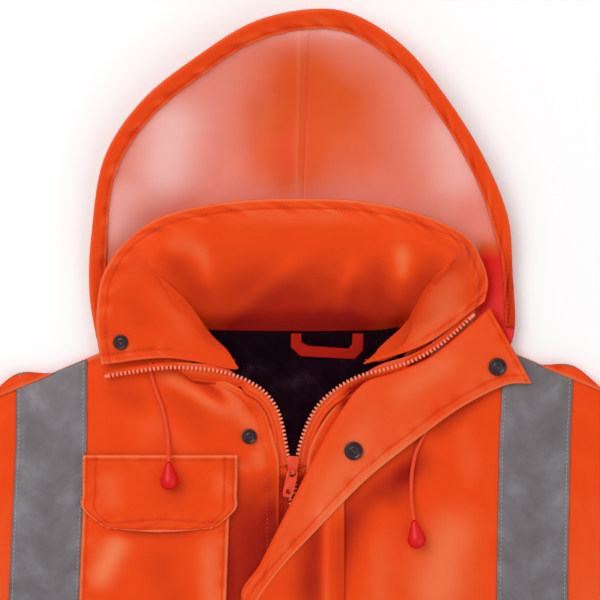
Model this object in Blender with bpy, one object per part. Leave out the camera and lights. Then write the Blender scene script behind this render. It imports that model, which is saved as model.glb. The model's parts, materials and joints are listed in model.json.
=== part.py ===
"""Hi-vis work jacket with a hood, laid on its back with the collar turned out and the zip part open.

+Z is up from the surface it lies on, +Y runs from hem to hood and +X to the wearer's left.
Tables are in millimetres from the middle of the back neck seam; build() moves them to the part's frame.
"""

import math

import bpy
from mathutils import Matrix, Vector
from mathutils.bvhtree import BVHTree

MM = 0.001

# Driving dimensions, millimetres
HEM_Y = -800.0  # back length from the neck seam
CENTRE_X = 0.0  # middle of the whole outline, which becomes the part's origin
CENTRE_Y = -286.25
GAP = 0.3  # between pieces sewn or laid together
CLOTH = 2.5  # shell and padding of a body panel
SHELL = 1.8  # hood cloth
BAND = 2.2  # collar
FLAP = 2.0  # storm flap and pocket flap
TAPE = 0.8  # reflective tape
TAPE_WIDTH = 50.0
BACK_UNDER = TAPE + GAP  # underside of the back, which lies on its own tapes
FRONT_UNDER = BACK_UNDER + CLOTH + GAP
PUFF = 2.4  # rise of a front from its seams
PUFF_REACH = 22.0
LINING = 1.0

NECK_POINT = {"right": (88.0, 5.0), "left": (88.0, 13.0)}
SHOULDER_TIP_X = 278.0
SHOULDER_SLOPE = 0.414
ZIP_EDGE_X = 10.5  # front edge to the centre line where the zip is closed

BACK_NECK = ((-60, -0.6), (-30, -1), (30, -1), (60, -0.4))
TAPE_SETBACK = 2.0  # a back tape ends this far below the shoulder seam

# Outline of a front and the back below the shoulder tip: y, distance from the centre
OUTLINE = (
    (-60, 279),
    (-110, 271),
    (-160, 268),
    (-220, 272),
    (-290, 290),
    (-345, 322),
    (-420, 324),
    (-560, 326),
    (-800, 330),
)
# Inner edge of the front tapes: y, right, left
TAPE_LINE = (
    (0, 147, 151),
    (-80, 147, 147),
    (-190, 152, 145),
    (-400, 156, 150),
    (-800, 160, 158),
)
# Neckline and opening edge of each front, from the shoulder to the zip slider: x, y
NECK_EDGE = {
    "right": ((88, 5), (80, -14), (64, -28), (44, -37), (28, -47), (18, -60), (14.5, -75), (10.5, -92)),
    "left": ((88, 13), (82, -14), (64, -34), (43, -43), (30, -53), (21, -65), (14, -79), (10.5, -92)),
}
# Lower levels of a front: height at the opening and tapes, height at the side
LEVELS = (
    (-116, -243),
    (-141, -262),
    (-165, -283),
    (-200, -305),
    (-232, -325),
    (-265, -345),
    (-330, -395),
    (-400, -445),
    (-480, -510),
    (-560, -580),
    (-640, -650),
    (-720, -724),
    (-782, -783),
    (-800, -800),
)
INNER_COLUMNS = (0.0, 0.12, 0.25, 0.42, 0.6, 0.8)  # from the opening edge to the tape
OUTER_COLUMNS = (0.3, 0.6, 0.86, 1.0)  # from the tape to the outline
NECK_LIFT = {"right": (-46, -34, 7.5, 30), "left": (48, -40, 7.0, 32)}  # x, y, height, reach

# Largest soft folds of the fronts: x and y of both ends, width, height
FOLDS = (
    (-70, -300, -40, -620, 34, 1.6),
    (-235, -170, -262, -420, 26, 1.5),
    (-120, -480, -230, -700, 30, 1.4),
    (100, -210, 60, -560, 36, 1.6),
    (236, -150, 250, -450, 28, 1.5),
    (120, -400, 250, -640, 32, 1.5),
)

# Collar, underside: neck seam x y z, ridge x y z, top edge x y z, sideways bow of the turned-out part
COLLAR = (
    ((-41, -22, 18), (-47, -19, 21.5), (-136, -23, 15.6), 5),
    ((-54, -20, 15), (-48, -12, 23.5), (-139, -4, 16.2), 2),
    ((-69, -13, 12), (-58, -1, 27), (-139, 18, 17.5), 0),
    ((-78, -3, 9), (-74, 21, 34), (-134, 42, 21.5), 0),
    ((-74, 2, 6), (-98, 46, 40), (-116, 66, 30), 0),
    ((-55, 0.9, 5.2), (-76, 60, 34), (-88, 83, 33), 0),
    ((-28, 0.3, 5), (-37, 62, 27), (-42, 92, 31), 0),
    ((3, 0.2, 5), (4, 63, 25), (5, 94, 30), 0),
    ((34, 0.3, 5), (43, 62, 27), (50, 92, 31), 0),
    ((62, 1.0, 5.2), (80, 60, 34), (90, 83, 33), 0),
    ((78, 3, 6.2), (110, 50, 40), (122, 68, 31), 0),
    ((81.5, -2, 10), (97, 36, 37), (134, 50, 23), 0),
    ((76, -14, 14), (81, 8, 31), (138, 38, 19), 0),
    ((63, -20, 17), (65, -8, 25), (138, 30, 18), -3),
    ((50, -20, 19), (56, -17, 22.5), (136, 24, 17.4), -8),
)
WALL_PLAN = 0.3  # where the collar's upright wall bends, across and up
WALL_RISE = 0.56

# Hood: rim x y and height of its underside, neck attachment x y
HOOD_RIGHT = (
    ((-106, -15, 9), (-93, -9)),
    ((-124, -12, 9), (-92, -5)),
    ((-138, -4, 9), (-91, 2)),
    ((-143, 28, 8), (-88, 15)),
    ((-142, 66, 13), (-70, 10)),
    ((-133, 121, 20), (-52, 6)),
    ((-106, 162, 25), (-36, 4)),
    ((-66, 194, 28), (-22, 3)),
    ((-28, 217, 30), (-9, 3)),
    ((12, 226, 31), (3.85, 3)),
)
HOOD_LEFT = (
    ((12, 226, 31), (4.15, 3)),
    ((44, 222, 30), (17, 3)),
    ((78, 200, 28), (31, 4)),
    ((106, 167, 25), (46, 5)),
    ((134, 123, 20), (62, 7)),
    ((153, 80, 14), (78, 12)),
    ((159, 40, 8.5), (96, 22)),
    ((161, 4, 9), (99, 7)),
    ((150, -16, 9), (99, -8)),
    ((132, -28, 9), (98, -18)),
    ((116, -35, 9), (98, -25)),
)
HOOD_SECTIONS = (0.0, 0.1, 0.22, 0.36, 0.52, 0.75, 1.0)
HOOD_FOOT = 80.0  # the slope from the rim reaches the surface after this length
RIM_SKIP = {"right": 2, "left": 3}  # hood stations that carry no rim, hidden by the collar and flap
RIM_WIDTH = 12.0
RIM_THICK = 2.2

# Storm flap, underside: seam x y z, roll x y z, free edge x y z
FLAP_ROWS = (
    ((140, 15, 12.8), (139, 17, 18), (169, -36, 14)),
    ((121, -4, 14), (120, 0.5, 19.5), (150, -37.5, 14.5)),
    ((98, -22, 15), (96, -18, 21.5), (119, -53, 16)),
    ((73, -34, 16), (71, -28.5, 22.5), (91, -73, 16.8)),
    ((55, -47, 16.8), (49, -37, 22), (69, -90, 14.5)),
    ((43, -70, 14.6), (29.5, -63, 19), (51, -105, 14)),
    ((38, -95, 11.8), (17, -86, 16.5), (31, -125, 13.8)),
    ((36, -118, 10.4), (5, -110, 15.5), (12, -145, 13.8)),
    ((36, -142, 9.4), (-8, -136, 15.5), (-4, -162, 13.8)),
    ((36, -168, 9.4), (-22, -164, 15), (-17, -178, 13.8)),
)
FLAP_EDGE_X = -44.0
FLAP_SEAM_X = 36.0
FLAP_LEVELS = (-225, -270, -330, -400, -480, -560, -640, -720, -786)
FLAP_BED = 9.4  # underside of the flap at its seam
FLAP_OVER_ZIP = 10.8
FLAP_CLIMB = 22.0  # from the seam to its height over the zip
FLAP_SECTIONS = (0.0, 0.3, 0.55, 0.75, 0.9, 1.0)
FLAP_CROWN = 4.0  # roll to the flat of the turned-back part

# Zip teeth, underside and middle line, from the hem to the collar's corner: x, y, z, tape on this side
TEETH_WIDTH = 2.9
TEETH_HIGH = 2.4
TAPE_REACH = 7.3  # from the teeth's middle line to the zip tape's edge
TAPE_START = 0.4
TAPE_DROP = 0.6  # the tape lies this far below the teeth
TAPE_LEAST = 1.0
ZIP_HIGH = 7.4
ZIP_RIGHT = (
    (-1.65, -786, ZIP_HIGH, 1),
    (-1.65, -600, ZIP_HIGH, 1),
    (-1.65, -400, ZIP_HIGH, 1),
    (-1.65, -220, ZIP_HIGH, 1),
    (-1.65, -104, ZIP_HIGH, 1),
    (-2.4, -95, ZIP_HIGH, 1),
    (-3.4, -88, ZIP_HIGH, 1),
    (-4.8, -81, 8.4, 1),
    (-7.5, -66, 12, 1),
    (-12, -53, 14, 1),
    (-20.5, -42, 16, 1),
    (-31, -35, 17.5, 1),
    (-40, -31, 18.5, 0),
    (-50, -28, 19.5, -0.5),
    (-68, -25.5, 20.5, -0.5),
    (-90, -25, 20, -0.5),
    (-113, -28, 17, -0.5),
    (-134, -31.5, 13.8, -0.5),
)
ZIP_LEFT = (
    (1.65, -786, ZIP_HIGH, -1),
    (1.65, -600, ZIP_HIGH, -1),
    (1.65, -400, ZIP_HIGH, -1),
    (1.65, -220, ZIP_HIGH, -1),
    (1.65, -104, ZIP_HIGH, -1),
    (2.4, -95, ZIP_HIGH, -1),
    (3.4, -88, ZIP_HIGH, -1),
    (4.8, -81, 8.4, -1),
    (9, -68, 11.8, -1),
    (15, -56, 14, -1),
    (23.5, -46, 16, -1),
    (36, -36.5, 17.8, -1),
    (50, -30, 19, 0),
    (64, -26.5, 19.8, 0.6),
    (86, -19.5, 20, 0.6),
    (104, -9, 18.8, 0.6),
    (118, 3, 17.4, 0.6),
    (129, 13, 16.2, 0.6),
)

SLIDER_Y = -88.0
SLIDER_LENGTH = 13.0
SLIDER_WIDTH = 8.4
SLIDER_BED = ZIP_HIGH + TEETH_HIGH + GAP
SLIDER_THICK = 2.4
BRIDGE_WIDTH = 2.4  # arch on the slider that holds the pull tab
BRIDGE_REACH = 2.3  # half its length
BRIDGE_WALL = 1.1
PULL_BAR = (0.0, -98.9, SLIDER_BED + SLIDER_THICK + 1.0)  # middle of the tab's top bar
PULL_LEAN = math.radians(-13)
PULL_THICK = 1.3
PULL_EYE_HALF = 2.5
PULL_WINDOW_HALF = 1.7
# Pull tab across and down from its top bar: where its edges and holes lie
PULL_ACROSS = (-3.8, -PULL_EYE_HALF, -PULL_WINDOW_HALF, PULL_WINDOW_HALF, PULL_EYE_HALF, 3.8)
PULL_DOWN = (0.65, -0.65, -3.9, -13.2, -16.2, -18.9)
PULL_HOLES = ((1, 1), (1, 2), (1, 3), (3, 2))  # row and column of the cells left out
PULL_CORNER = 0.9

POCKET_RIGHT = (44.5, 51.0)  # edge nearest the zip, at the top and at the bottom
POCKET_THICK = 2.2
# Pocket flap outline, from its seam down: y at the middle, y at the ends, outer x, inner x
POCKET_FLAP = (
    (-88, -88, -148.6, -40),
    (-102, -102, -148.8, -40),
    (-116, -115, -149, -40.5),
    (-130, -125.5, -149, -41),
    (-139.5, -136, -137, -52),
    (-141.5, -139, -131, -58),
)

CORD = 3.0
# Drawcords in plan, from the neck to the cord end: x, y, height over what lies below
CORD_RIGHT = (
    (-101.5, -21, 0),
    (-101, -29, 0),
    (-97.5, -41, 0),
    (-92.5, -55, 0),
    (-89.5, -70, 0.4),
    (-88.4, -82, 3),
    (-88, -91.6, 5.4),
)
CORD_LEFT = (
    (97, -64.5, 0),
    (92.5, -74, 0),
    (87, -87, 0),
    (84.3, -104, 0),
    (84.4, -122, 2.2),
    (86, -133.6, 5),
)
CORD_STEP = 7.0
CORD_END_LONG = 18.6
CORD_END_WIDE = 12.0
CORD_END_GAP = 0.9
# Half profile of a rubber cord end: share of its length, share of its half width
CORD_END = ((0.0, 0.28), (0.12, 0.36), (0.35, 0.66), (0.6, 0.95), (0.75, 1.0), (0.9, 0.8), (1.0, 0.3))

LINING_OUTLINE = (
    (-62, -2.5), (-76, -10), (-70, -34), (-50, -56), (-32, -84), (-22, -118),
    (20, -118), (32, -88), (52, -62), (72, -36), (76, -10), (64, -2.5),
)
LOOP_THICK = 1.2
LOOP_RISE = 0.7  # the loop stands this far off the lining
LOOP_OUTLINE = (
    (-1.4, -0.9), (-1.6, -10.5), (5.4, -17.2), (44, -19.2), (50, -13), (50.2, -0.9),
    (42.4, -0.9), (42.2, -8.5), (39.5, -11.7), (11, -9.8), (6, -7.2), (6, -0.9),
)

# Press studs: name, piece it is set on, x, y, radius
SNAPS = (
    ("snap_socket_chest", "storm_flap", 43, -84, 6.6),
    ("snap_socket_collar", "storm_flap", 145, -24.5, 6.4),
    ("snap_stud_chest", "front_right", -31, -74, 5.4),
    ("snap_stud_collar", "collar", -122, -7, 5.4),
)
CAP_X = -23.0
CAP_LEVELS = (-238, -357, -476, -595, -714)
CAP_RADIUS = 6.5
# Half profile of a press stud: share of its radius, height
STUD_PROFILE = ((1.0, 0.0), (1.0, 1.3), (0.86, 1.9), (0.62, 1.5), (0.3, 1.3))

SLEEVE_HIGH = 7.2
SLEEVE_WALL = 2.5
ARMHOLE_GAP = 2.2
HOLE_REACH = 0.3  # share of a sleeve over which the armhole's curve fades out
CUFF_OUTER = (769.0, -486.0)
CUFF_INNER = (672.0, -601.0)
UNDERARM_Y = -345.0
SLEEVE_STATIONS = (0.0, 0.1, 0.22, 0.36, 0.46, 0.54, 0.7, 0.86, 1.0)
# Folds across a sleeve near the elbow: share of the length, height
ELBOW_FOLDS = ((0.36, 1.2), (0.54, 1.6))
# Ring of a sleeve: share across, height share, 0 at the surface and 1 at the top
SLEEVE_RING = (
    (0.04, 0.0), (0.15, 0.0), (0.27, 0.0), (0.38, 0.0), (0.5, 0.0), (0.62, 0.0), (0.73, 0.0),
    (0.85, 0.0), (0.96, 0.0), (1.0, 0.45), (0.965, 0.86), (0.85, 1.0), (0.73, 1.0), (0.62, 1.0),
    (0.5, 1.0), (0.38, 1.0), (0.27, 1.0), (0.15, 1.0), (0.035, 0.86), (0.0, 0.45),
)

# Colours, sRGB hex, with roughness and metallic
FINISHES = {
    "orange": ("E8501B", 0.5, 0.0),
    "orange_dark": ("C8231A", 0.55, 0.0),
    "coating": ("F2A79B", 0.6, 0.0),
    "reflective": ("85858A", 0.35, 0.3),
    "lining": ("221019", 0.85, 0.0),
    "zip": ("F07A55", 0.4, 0.0),
    "rubber": ("DE1618", 0.35, 0.0),
    "snap": ("33202A", 0.3, 0.4),
}


def clamp(value):
    return max(0.0, min(1.0, value))


def ease(value):
    """0 to 1 with a soft start and end."""
    value = clamp(value)
    return value * value * (3.0 - 2.0 * value)


def mix(first, second, share):
    """The point or number between two, at a share of the way."""
    if isinstance(first, (int, float)):
        return first + (second - first) * share
    return tuple(a + (b - a) * share for a, b in zip(first, second))


def between(points, place):
    """Catmull-Rom point at a place counted in stations."""
    last = len(points) - 1
    index = min(int(place), last - 1)
    share = place - index
    p1, p2 = points[index], points[index + 1]
    p0 = points[index - 1] if index else mix(p1, p2, -1.0)
    p3 = points[index + 2] if index + 2 <= last else mix(p2, p1, -1.0)
    found = []
    for a, b, c, d in zip(p0, p1, p2, p3):
        bend = (2 * a - 5 * b + 4 * c - d) * share**2 + (3 * b - a - 3 * c + d) * share**3
        found.append(0.5 * (2 * b + (c - a) * share + bend))
    return tuple(found)


def refine(points, steps):
    """The same line with more points, on a smooth curve through them."""
    count = (len(points) - 1) * steps
    return [between(points, index / steps) for index in range(count + 1)]


def refine_net(net, along, across):
    rows = [refine(row, across) for row in net]
    columns = [refine(column, along) for column in zip(*rows)]
    return [list(row) for row in zip(*columns)]


def read(table, at, column=1):
    """Value of a table's column at a height y; rows run from high y to low."""
    if at >= table[0][0]:
        return table[0][column]
    for upper, lower in zip(table, table[1:]):
        if at >= lower[0]:
            return mix(upper[column], lower[column], (upper[0] - at) / (upper[0] - lower[0]))
    return table[-1][column]


def sign(side):
    return -1.0 if side == "right" else 1.0


def shoulder_y(side, x):
    point_x, point_y = NECK_POINT[side]
    return point_y - (abs(x) - point_x) * SHOULDER_SLOPE


def tape_x(side, y):
    return read(TAPE_LINE, y, 1 if side == "right" else 2)


def seam_distance(side, x, y):
    """How far a point of a front lies inside its shoulder, side and hem."""
    return max(0.0, min(read(OUTLINE, y) - abs(x), y - HEM_Y, shoulder_y(side, x) - y))


def fold_rise(folds, x, y):
    """Height that the soft folds add at a place."""
    total = 0.0
    for x0, y0, x1, y1, width, height in folds:
        run = Vector((x1 - x0, y1 - y0))
        away = Vector((x - x0, y - y0))
        share = away.dot(run) / run.length_squared
        across = abs(run.x * away.y - run.y * away.x) / run.length
        taper = ease(share * 2.5) * ease((1.0 - share) * 2.5)
        total += height * taper * math.exp(-((across / width) ** 2))
    return total


def front_under(side, x, y):
    """Height of a front's underside."""
    rise = PUFF * (1.0 - math.exp(-seam_distance(side, x, y) / PUFF_REACH))
    lift_x, lift_y, height, reach = NECK_LIFT[side]
    lift = height * math.exp(-((x - lift_x) ** 2 + (y - lift_y) ** 2) / (2 * reach**2))
    return FRONT_UNDER + rise + lift + fold_rise(FOLDS, x, y) * ease((-y - 90) / 90)


def front_top(side, x, y):
    return front_under(side, x, y) + CLOTH


def front_plan(side):
    """Net of a front in plan: rows from shoulder to hem, columns from opening to outline."""
    edge = NECK_EDGE[side]
    tip_y = shoulder_y(side, SHOULDER_TIP_X)
    tape_top = shoulder_y(side, tape_x(side, -20))
    rows = []
    for index, (edge_x, edge_y) in enumerate(edge):
        share = index / (len(edge) - 1)
        tape_y = mix(tape_top, edge[-1][1], share)
        side_y = mix(tip_y, -221.0, share)
        rows.append((edge_x, edge_y, tape_y, side_y, index == 0))
    rows += [(ZIP_EDGE_X, inner_y, inner_y, side_y, False) for inner_y, side_y in LEVELS]
    net = []
    for edge_x, edge_y, tape_y, side_y, on_shoulder in rows:
        inside = tape_x(side, tape_y)
        outside = inside + TAPE_WIDTH
        rim_x = SHOULDER_TIP_X if on_shoulder else read(OUTLINE, side_y)
        row = [mix((edge_x, edge_y), (inside, tape_y), share) for share in INNER_COLUMNS]
        row += [(inside, tape_y), (inside + TAPE_WIDTH / 2, tape_y), (outside, tape_y)]
        row += [mix((outside, tape_y), (rim_x, side_y), share) for share in OUTER_COLUMNS]
        if on_shoulder:
            row = [(x, shoulder_y(side, x)) for x, _ in row]
        net.append([(sign(side) * x, y) for x, y in row])
    return net


def lay(plan, height):
    """A plan net given its heights."""
    return [[(x, y, height(x, y)) for x, y in row] for row in plan]


def finish(name):
    """Principled material of a finish."""
    made = bpy.data.materials.get(name)
    if made:
        return made
    colour, roughness, metallic = FINISHES[name]
    made = bpy.data.materials.new(name)
    made.use_nodes = True
    shader = made.node_tree.nodes["Principled BSDF"]
    channels = [int(colour[i : i + 2], 16) / 255 for i in (0, 2, 4)]
    linear = [c / 12.92 if c <= 0.04045 else ((c + 0.055) / 1.055) ** 2.4 for c in channels]
    shader.inputs["Base Color"].default_value = (*linear, 1)
    shader.inputs["Roughness"].default_value = roughness
    shader.inputs["Metallic"].default_value = metallic
    made.diffuse_color = (*linear, 1)
    return made


def build(name, points, faces, colour, smooth=True, origin=None):
    """One named object from points in millimetres."""
    centre = Vector((CENTRE_X, CENTRE_Y, 0))
    at = origin if origin else Vector()
    mesh = bpy.data.meshes.new(name)
    mesh.from_pydata([(Vector(p) - centre) * MM - at for p in points], [], faces)
    mesh.validate()
    mesh.materials.append(finish(colour))
    if smooth:
        mesh.shade_smooth()
        mesh.set_sharp_from_angle(angle=math.radians(50))
    made = bpy.data.objects.new(name, mesh)
    made.location = at
    bpy.context.scene.collection.objects.link(made)
    return made


def net_normal(net, row, column):
    """Upward side of a net at one point, from its neighbours."""
    last_row, last_column = len(net) - 1, len(net[0]) - 1
    down = Vector(net[min(row + 1, last_row)][column]) - Vector(net[max(row - 1, 0)][column])
    along = Vector(net[row][min(column + 1, last_column)]) - Vector(net[row][max(column - 1, 0)])
    return along.cross(down).normalized()


def cloth(name, net, thick, colour, upright=True, flip=False):
    """A wall on a net of underside points. An upright wall is thickened straight up,
    any other along the net's own normals; flip turns those over."""
    rows, columns = len(net), len(net[0])
    under = [tuple(point) for row in net for point in row]
    over = []
    for row in range(rows):
        for column in range(columns):
            way = Vector((0, 0, 1)) if upright else net_normal(net, row, column) * (-1 if flip else 1)
            over.append(tuple(Vector(net[row][column]) + way * thick))
    points = under + over
    size = rows * columns
    faces = []
    for row in range(rows - 1):
        for column in range(columns - 1):
            a = row * columns + column
            for corner in ((a, a + 1, a + columns + 1), (a, a + columns + 1, a + columns)):
                faces.append(corner)
                faces.append(tuple(size + i for i in reversed(corner)))
    edge = list(range(columns))
    edge += [row * columns + columns - 1 for row in range(1, rows)]
    edge += [(rows - 1) * columns + column for column in range(columns - 2, -1, -1)]
    edge += [row * columns for row in range(rows - 2, 0, -1)]
    for a, b in zip(edge, edge[1:] + edge[:1]):
        faces.append((b, a, size + a, size + b))
    a, b, c = (Vector(net[0][0]), Vector(net[0][1]), Vector(net[1][0]))
    if ((b - a).cross(c - a)).dot(Vector(over[0]) - a) > 0:
        faces = [tuple(reversed(face)) for face in faces]
    return build(name, points, faces, colour)


def slab(name, outline, under, over, colour):
    """A flat piece of cloth between two heights."""
    count = len(outline)
    points = [(x, y, under) for x, y in outline] + [(x, y, over) for x, y in outline]
    faces = [tuple(reversed(range(count))), tuple(range(count, 2 * count))]
    faces += [(i, (i + 1) % count, count + (i + 1) % count, count + i) for i in range(count)]
    area = sum(a[0] * b[1] - b[0] * a[1] for a, b in zip(outline, outline[1:] + outline[:1]))
    if area < 0:
        faces = [tuple(reversed(face)) for face in faces]
    return build(name, points, faces, colour, smooth=False)


def ribbon(name, route, offsets, thick, colour):
    """A flat strip along a route of x y z; offsets gives both edges, left positive, at each point."""
    net = []
    for index, (x, y, z) in enumerate(route):
        before, after = route[max(index - 1, 0)], route[min(index + 1, len(route) - 1)]
        run = Vector((after[0] - before[0], after[1] - before[1])).normalized()
        left = Vector((-run.y, run.x))
        low, high = offsets[index]
        net.append([(x + left.x * at, y + left.y * at, z) for at in (low, high)])
    return cloth(name, net, thick, colour)


def turned(name, profile, place, axis, colour, sides=16):
    """A round solid: profile of (along, radius), swept about an axis from a place."""
    axis = Vector(axis).normalized()
    across = axis.orthogonal().normalized()
    other = axis.cross(across)
    points = []
    for along, radius in profile:
        for side in range(sides):
            angle = 2 * math.pi * side / sides
            ring = across * math.cos(angle) + other * math.sin(angle)
            points.append(tuple(Vector(place) + axis * along + ring * radius))
    faces = []
    for row in range(len(profile) - 1):
        for side in range(sides):
            a, b = row * sides + side, row * sides + (side + 1) % sides
            faces.append((a, b, b + sides, a + sides))
    faces.append(tuple(reversed(range(sides))))
    faces.append(tuple(range((len(profile) - 1) * sides, len(profile) * sides)))
    return build(name, points, faces, colour)


def make_back():
    """The back, flat under everything."""
    right, left = [], []
    for side, found in (("right", right), ("left", left)):
        found.append((sign(side) * NECK_POINT[side][0], NECK_POINT[side][1] - GAP))
        found.append((sign(side) * SHOULDER_TIP_X, shoulder_y(side, SHOULDER_TIP_X)))
        found += [(sign(side) * x, y) for y, x in OUTLINE[1:]]
    outline = right[::-1] + list(BACK_NECK) + left
    slab("back", outline, BACK_UNDER, BACK_UNDER + CLOTH, "orange")
    for side in ("right", "left"):
        top = shoulder_y(side, tape_x(side, -20)) - TAPE_SETBACK
        inside = [(sign(side) * tape_x(side, y), y) for y in (top, -190, -400, HEM_Y)]
        outside = [(x + sign(side) * TAPE_WIDTH, y) for x, y in inside]
        outside[0] = (outside[0][0], shoulder_y(side, outside[0][0]) - TAPE_SETBACK)
        slab("tape_back_" + side, inside + outside[::-1], 0.0, TAPE, "reflective")


def make_fronts():
    for side in ("right", "left"):
        plan = front_plan(side)
        cloth("front_" + side, lay(plan, lambda x, y: front_under(side, x, y)), CLOTH, "orange")
        first = len(INNER_COLUMNS)
        tape = [row[first : first + 3] for row in plan]
        raised = lay(tape, lambda x, y: front_top(side, x, y) + GAP)
        cloth("tape_front_" + side, raised, TAPE, "reflective")


def make_pocket():
    plan = front_plan("right")
    rows = plan[len(NECK_EDGE["right"]) - 1 : len(NECK_EDGE["right"]) + 6]
    first, last = INNER_COLUMNS.index(0.25), len(INNER_COLUMNS)
    body = []
    for row in rows:
        share = (row[0][1] - rows[0][0][1]) / (rows[-1][0][1] - rows[0][0][1])
        inner = -mix(*POCKET_RIGHT, share)
        outer = -(tape_x("right", row[0][1]) - 0.8 + GAP)
        stations = [mix(inner, outer, k / (last - first)) for k in range(last - first + 1)]
        body.append([(x, row[first][1]) for x in stations])
    cloth("pocket", lay(body, lambda x, y: front_top("right", x, y) + 0.5), POCKET_THICK, "orange")
    flap = []
    for middle_y, end_y, outer, inner in POCKET_FLAP:
        row = []
        for share in (0.0, 0.17, 0.34, 0.5, 0.66, 0.83, 1.0):
            bow = 1.0 - (2 * share - 1) ** 2
            row.append((mix(inner, outer, share), mix(end_y, middle_y, bow)))
        flap.append(row)
    lift = 0.5 + POCKET_THICK + 0.5
    cloth("pocket_flap", lay(flap, lambda x, y: front_top("right", x, y) + lift), FLAP, "orange")


def sleeve_line(side, share):
    """Both folds of a flattened sleeve at a share of its length: outer x y, inner x y."""
    tip = (SHOULDER_TIP_X + 1, shoulder_y(side, SHOULDER_TIP_X))
    underarm = (read(OUTLINE, UNDERARM_Y) + 1, UNDERARM_Y)
    bow = 10 * math.sin(math.pi * share) * (1 - share)
    outer = mix(tip, CUFF_OUTER, share)
    inner = mix(underarm, CUFF_INNER, share)
    return (outer[0] + bow, outer[1] + bow * 0.5), inner


def sleeve_point(side, share, across):
    """Plan of a sleeve; its first station follows the armhole."""
    outer, inner = sleeve_line(side, share)
    straight = mix(outer, inner, across)
    top_y, low_y = shoulder_y(side, SHOULDER_TIP_X), UNDERARM_Y
    hole_y = mix(top_y, low_y, across)
    hole = (read(OUTLINE, hole_y) + ARMHOLE_GAP, hole_y)
    plain = mix(*sleeve_line(side, 0), across)
    follow = 1.0 - ease(share / HOLE_REACH)
    return straight[0] + (hole[0] - plain[0]) * follow, straight[1] + (hole[1] - plain[1]) * follow


def make_sleeves():
    for side in ("right", "left"):
        outer_rings, inner_rings = [], []
        for share in SLEEVE_STATIONS:
            high = SLEEVE_HIGH + sum(
                rise * math.exp(-(((share - at) / 0.06) ** 2)) for at, rise in ELBOW_FOLDS
            )
            outer, inner = sleeve_line(side, share)
            wide = math.dist(outer, inner)
            outside, inside = [], []
            for across, up in SLEEVE_RING:
                x, y = sleeve_point(side, share, across)
                outside.append((sign(side) * x, y, up * high))
                inset = SLEEVE_WALL / wide
                x, y = sleeve_point(side, share, mix(inset, 1 - inset, across))
                inside.append((sign(side) * x, y, SLEEVE_WALL + up * (high - 2 * SLEEVE_WALL)))
            outer_rings.append(outside)
            inner_rings.append(inside)
        count = len(SLEEVE_RING)
        rings = outer_rings + inner_rings[::-1]
        points = [point for ring in rings for point in ring]
        faces = []
        for row in range(len(rings)):
            for side_index in range(count):
                following = (side_index + 1) % count
                a, b = row * count + side_index, row * count + following
                below = ((row + 1) % len(rings)) * count
                faces.append((a, b, below + following, below + side_index))
        if side == "left":
            faces = [tuple(reversed(face)) for face in faces]
        build("sleeve_" + side, points, faces, "orange")


def collar_net():
    net = []
    for neck, ridge, edge, bow in COLLAR:
        wall = (*mix(neck[:2], ridge[:2], WALL_PLAN), mix(neck[2], ridge[2], WALL_RISE))
        middle = mix(ridge, edge, 0.5)
        net.append([neck, wall, ridge, (middle[0], middle[1] + bow, middle[2] + 1.5), edge])
    return net


def make_collar():
    cloth("collar", refine_net(collar_net(), 2, 2), BAND, "orange", upright=False)


def body_ledge(x, y):
    """Height that clears the shoulders for what lies over them."""
    side = "right" if x < 0 else "left"
    edge = shoulder_y(side, x) if abs(x) > NECK_POINT[side][0] else NECK_POINT[side][1]
    beside = ease((abs(x) - 60) / 22)
    over = ease(1.0 - (y - edge - 3) / 24)
    return (front_top(side, x, min(y, edge)) + TAPE + 3 * GAP) * over * beside


def hood_net(stations):
    net = []
    for rim, neck in stations:
        row = []
        length = math.dist(rim[:2], neck)
        foot = min(0.75, HOOD_FOOT / length)
        for share in HOOD_SECTIONS:
            x, y = mix(rim[:2], neck, share)
            slope = max(0.0, 1.0 - share / foot) ** 1.4 * rim[2]
            row.append((x, y, max(slope, body_ledge(x, y))))
        net.append(row)
    return net


def make_hood():
    cloth("hood_right", hood_net(HOOD_RIGHT), SHELL, "coating")
    cloth("hood_left", hood_net(HOOD_LEFT), SHELL, "coating")
    route = []
    for rim, neck in HOOD_RIGHT[RIM_SKIP["right"] :] + HOOD_LEFT[1 : -RIM_SKIP["left"]]:
        inward = (Vector(neck) - Vector(rim[:2])).normalized()
        reach = math.dist(rim[:2], neck)
        foot = min(0.75, HOOD_FOOT / reach)
        row = []
        for at in (-1.5, RIM_WIDTH / 2, RIM_WIDTH):
            x, y = rim[0] + inward.x * at, rim[1] + inward.y * at
            slope = max(0.0, 1.0 - max(at, 0) / reach / foot) ** 1.4 * rim[2]
            row.append((x, y, max(slope, body_ledge(x, y)) + SHELL + 0.9))
        route.append(row)
    cloth("hood_rim", route, RIM_THICK, "orange")


def flap_net():
    """Rows of the storm flap: seam, rise, roll, crown, turned-back part and free edge."""
    net = []
    for seam, roll, edge in FLAP_ROWS:
        outward = (Vector(edge[:2]) - Vector(roll[:2])).normalized()
        rise = (*mix(seam[:2], roll[:2], 0.6), mix(seam[2], roll[2], 0.12))
        turn = (*mix(seam[:2], roll[:2], 1.0), mix(seam[2], roll[2], 0.55))
        crown = (roll[0] + outward.x * FLAP_CROWN, roll[1] + outward.y * FLAP_CROWN, roll[2])
        net.append([seam, rise, turn, crown, mix(crown, edge, 0.5), edge])
    return net


def flap_closed_net():
    """Rows of the closed stretch: from its seam, over the zip, to the free edge."""
    net = []
    for y in FLAP_LEVELS:
        row = []
        for share in FLAP_SECTIONS:
            x = mix(FLAP_SEAM_X, FLAP_EDGE_X, share)
            over = ease((FLAP_SEAM_X - x) / FLAP_CLIMB)
            row.append((x, y, mix(FLAP_BED, FLAP_OVER_ZIP, over)))
        net.append(row)
    return net


def make_storm_flap():
    net = flap_net() + flap_closed_net()
    cloth("storm_flap", net, FLAP, "orange", upright=False)


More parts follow.
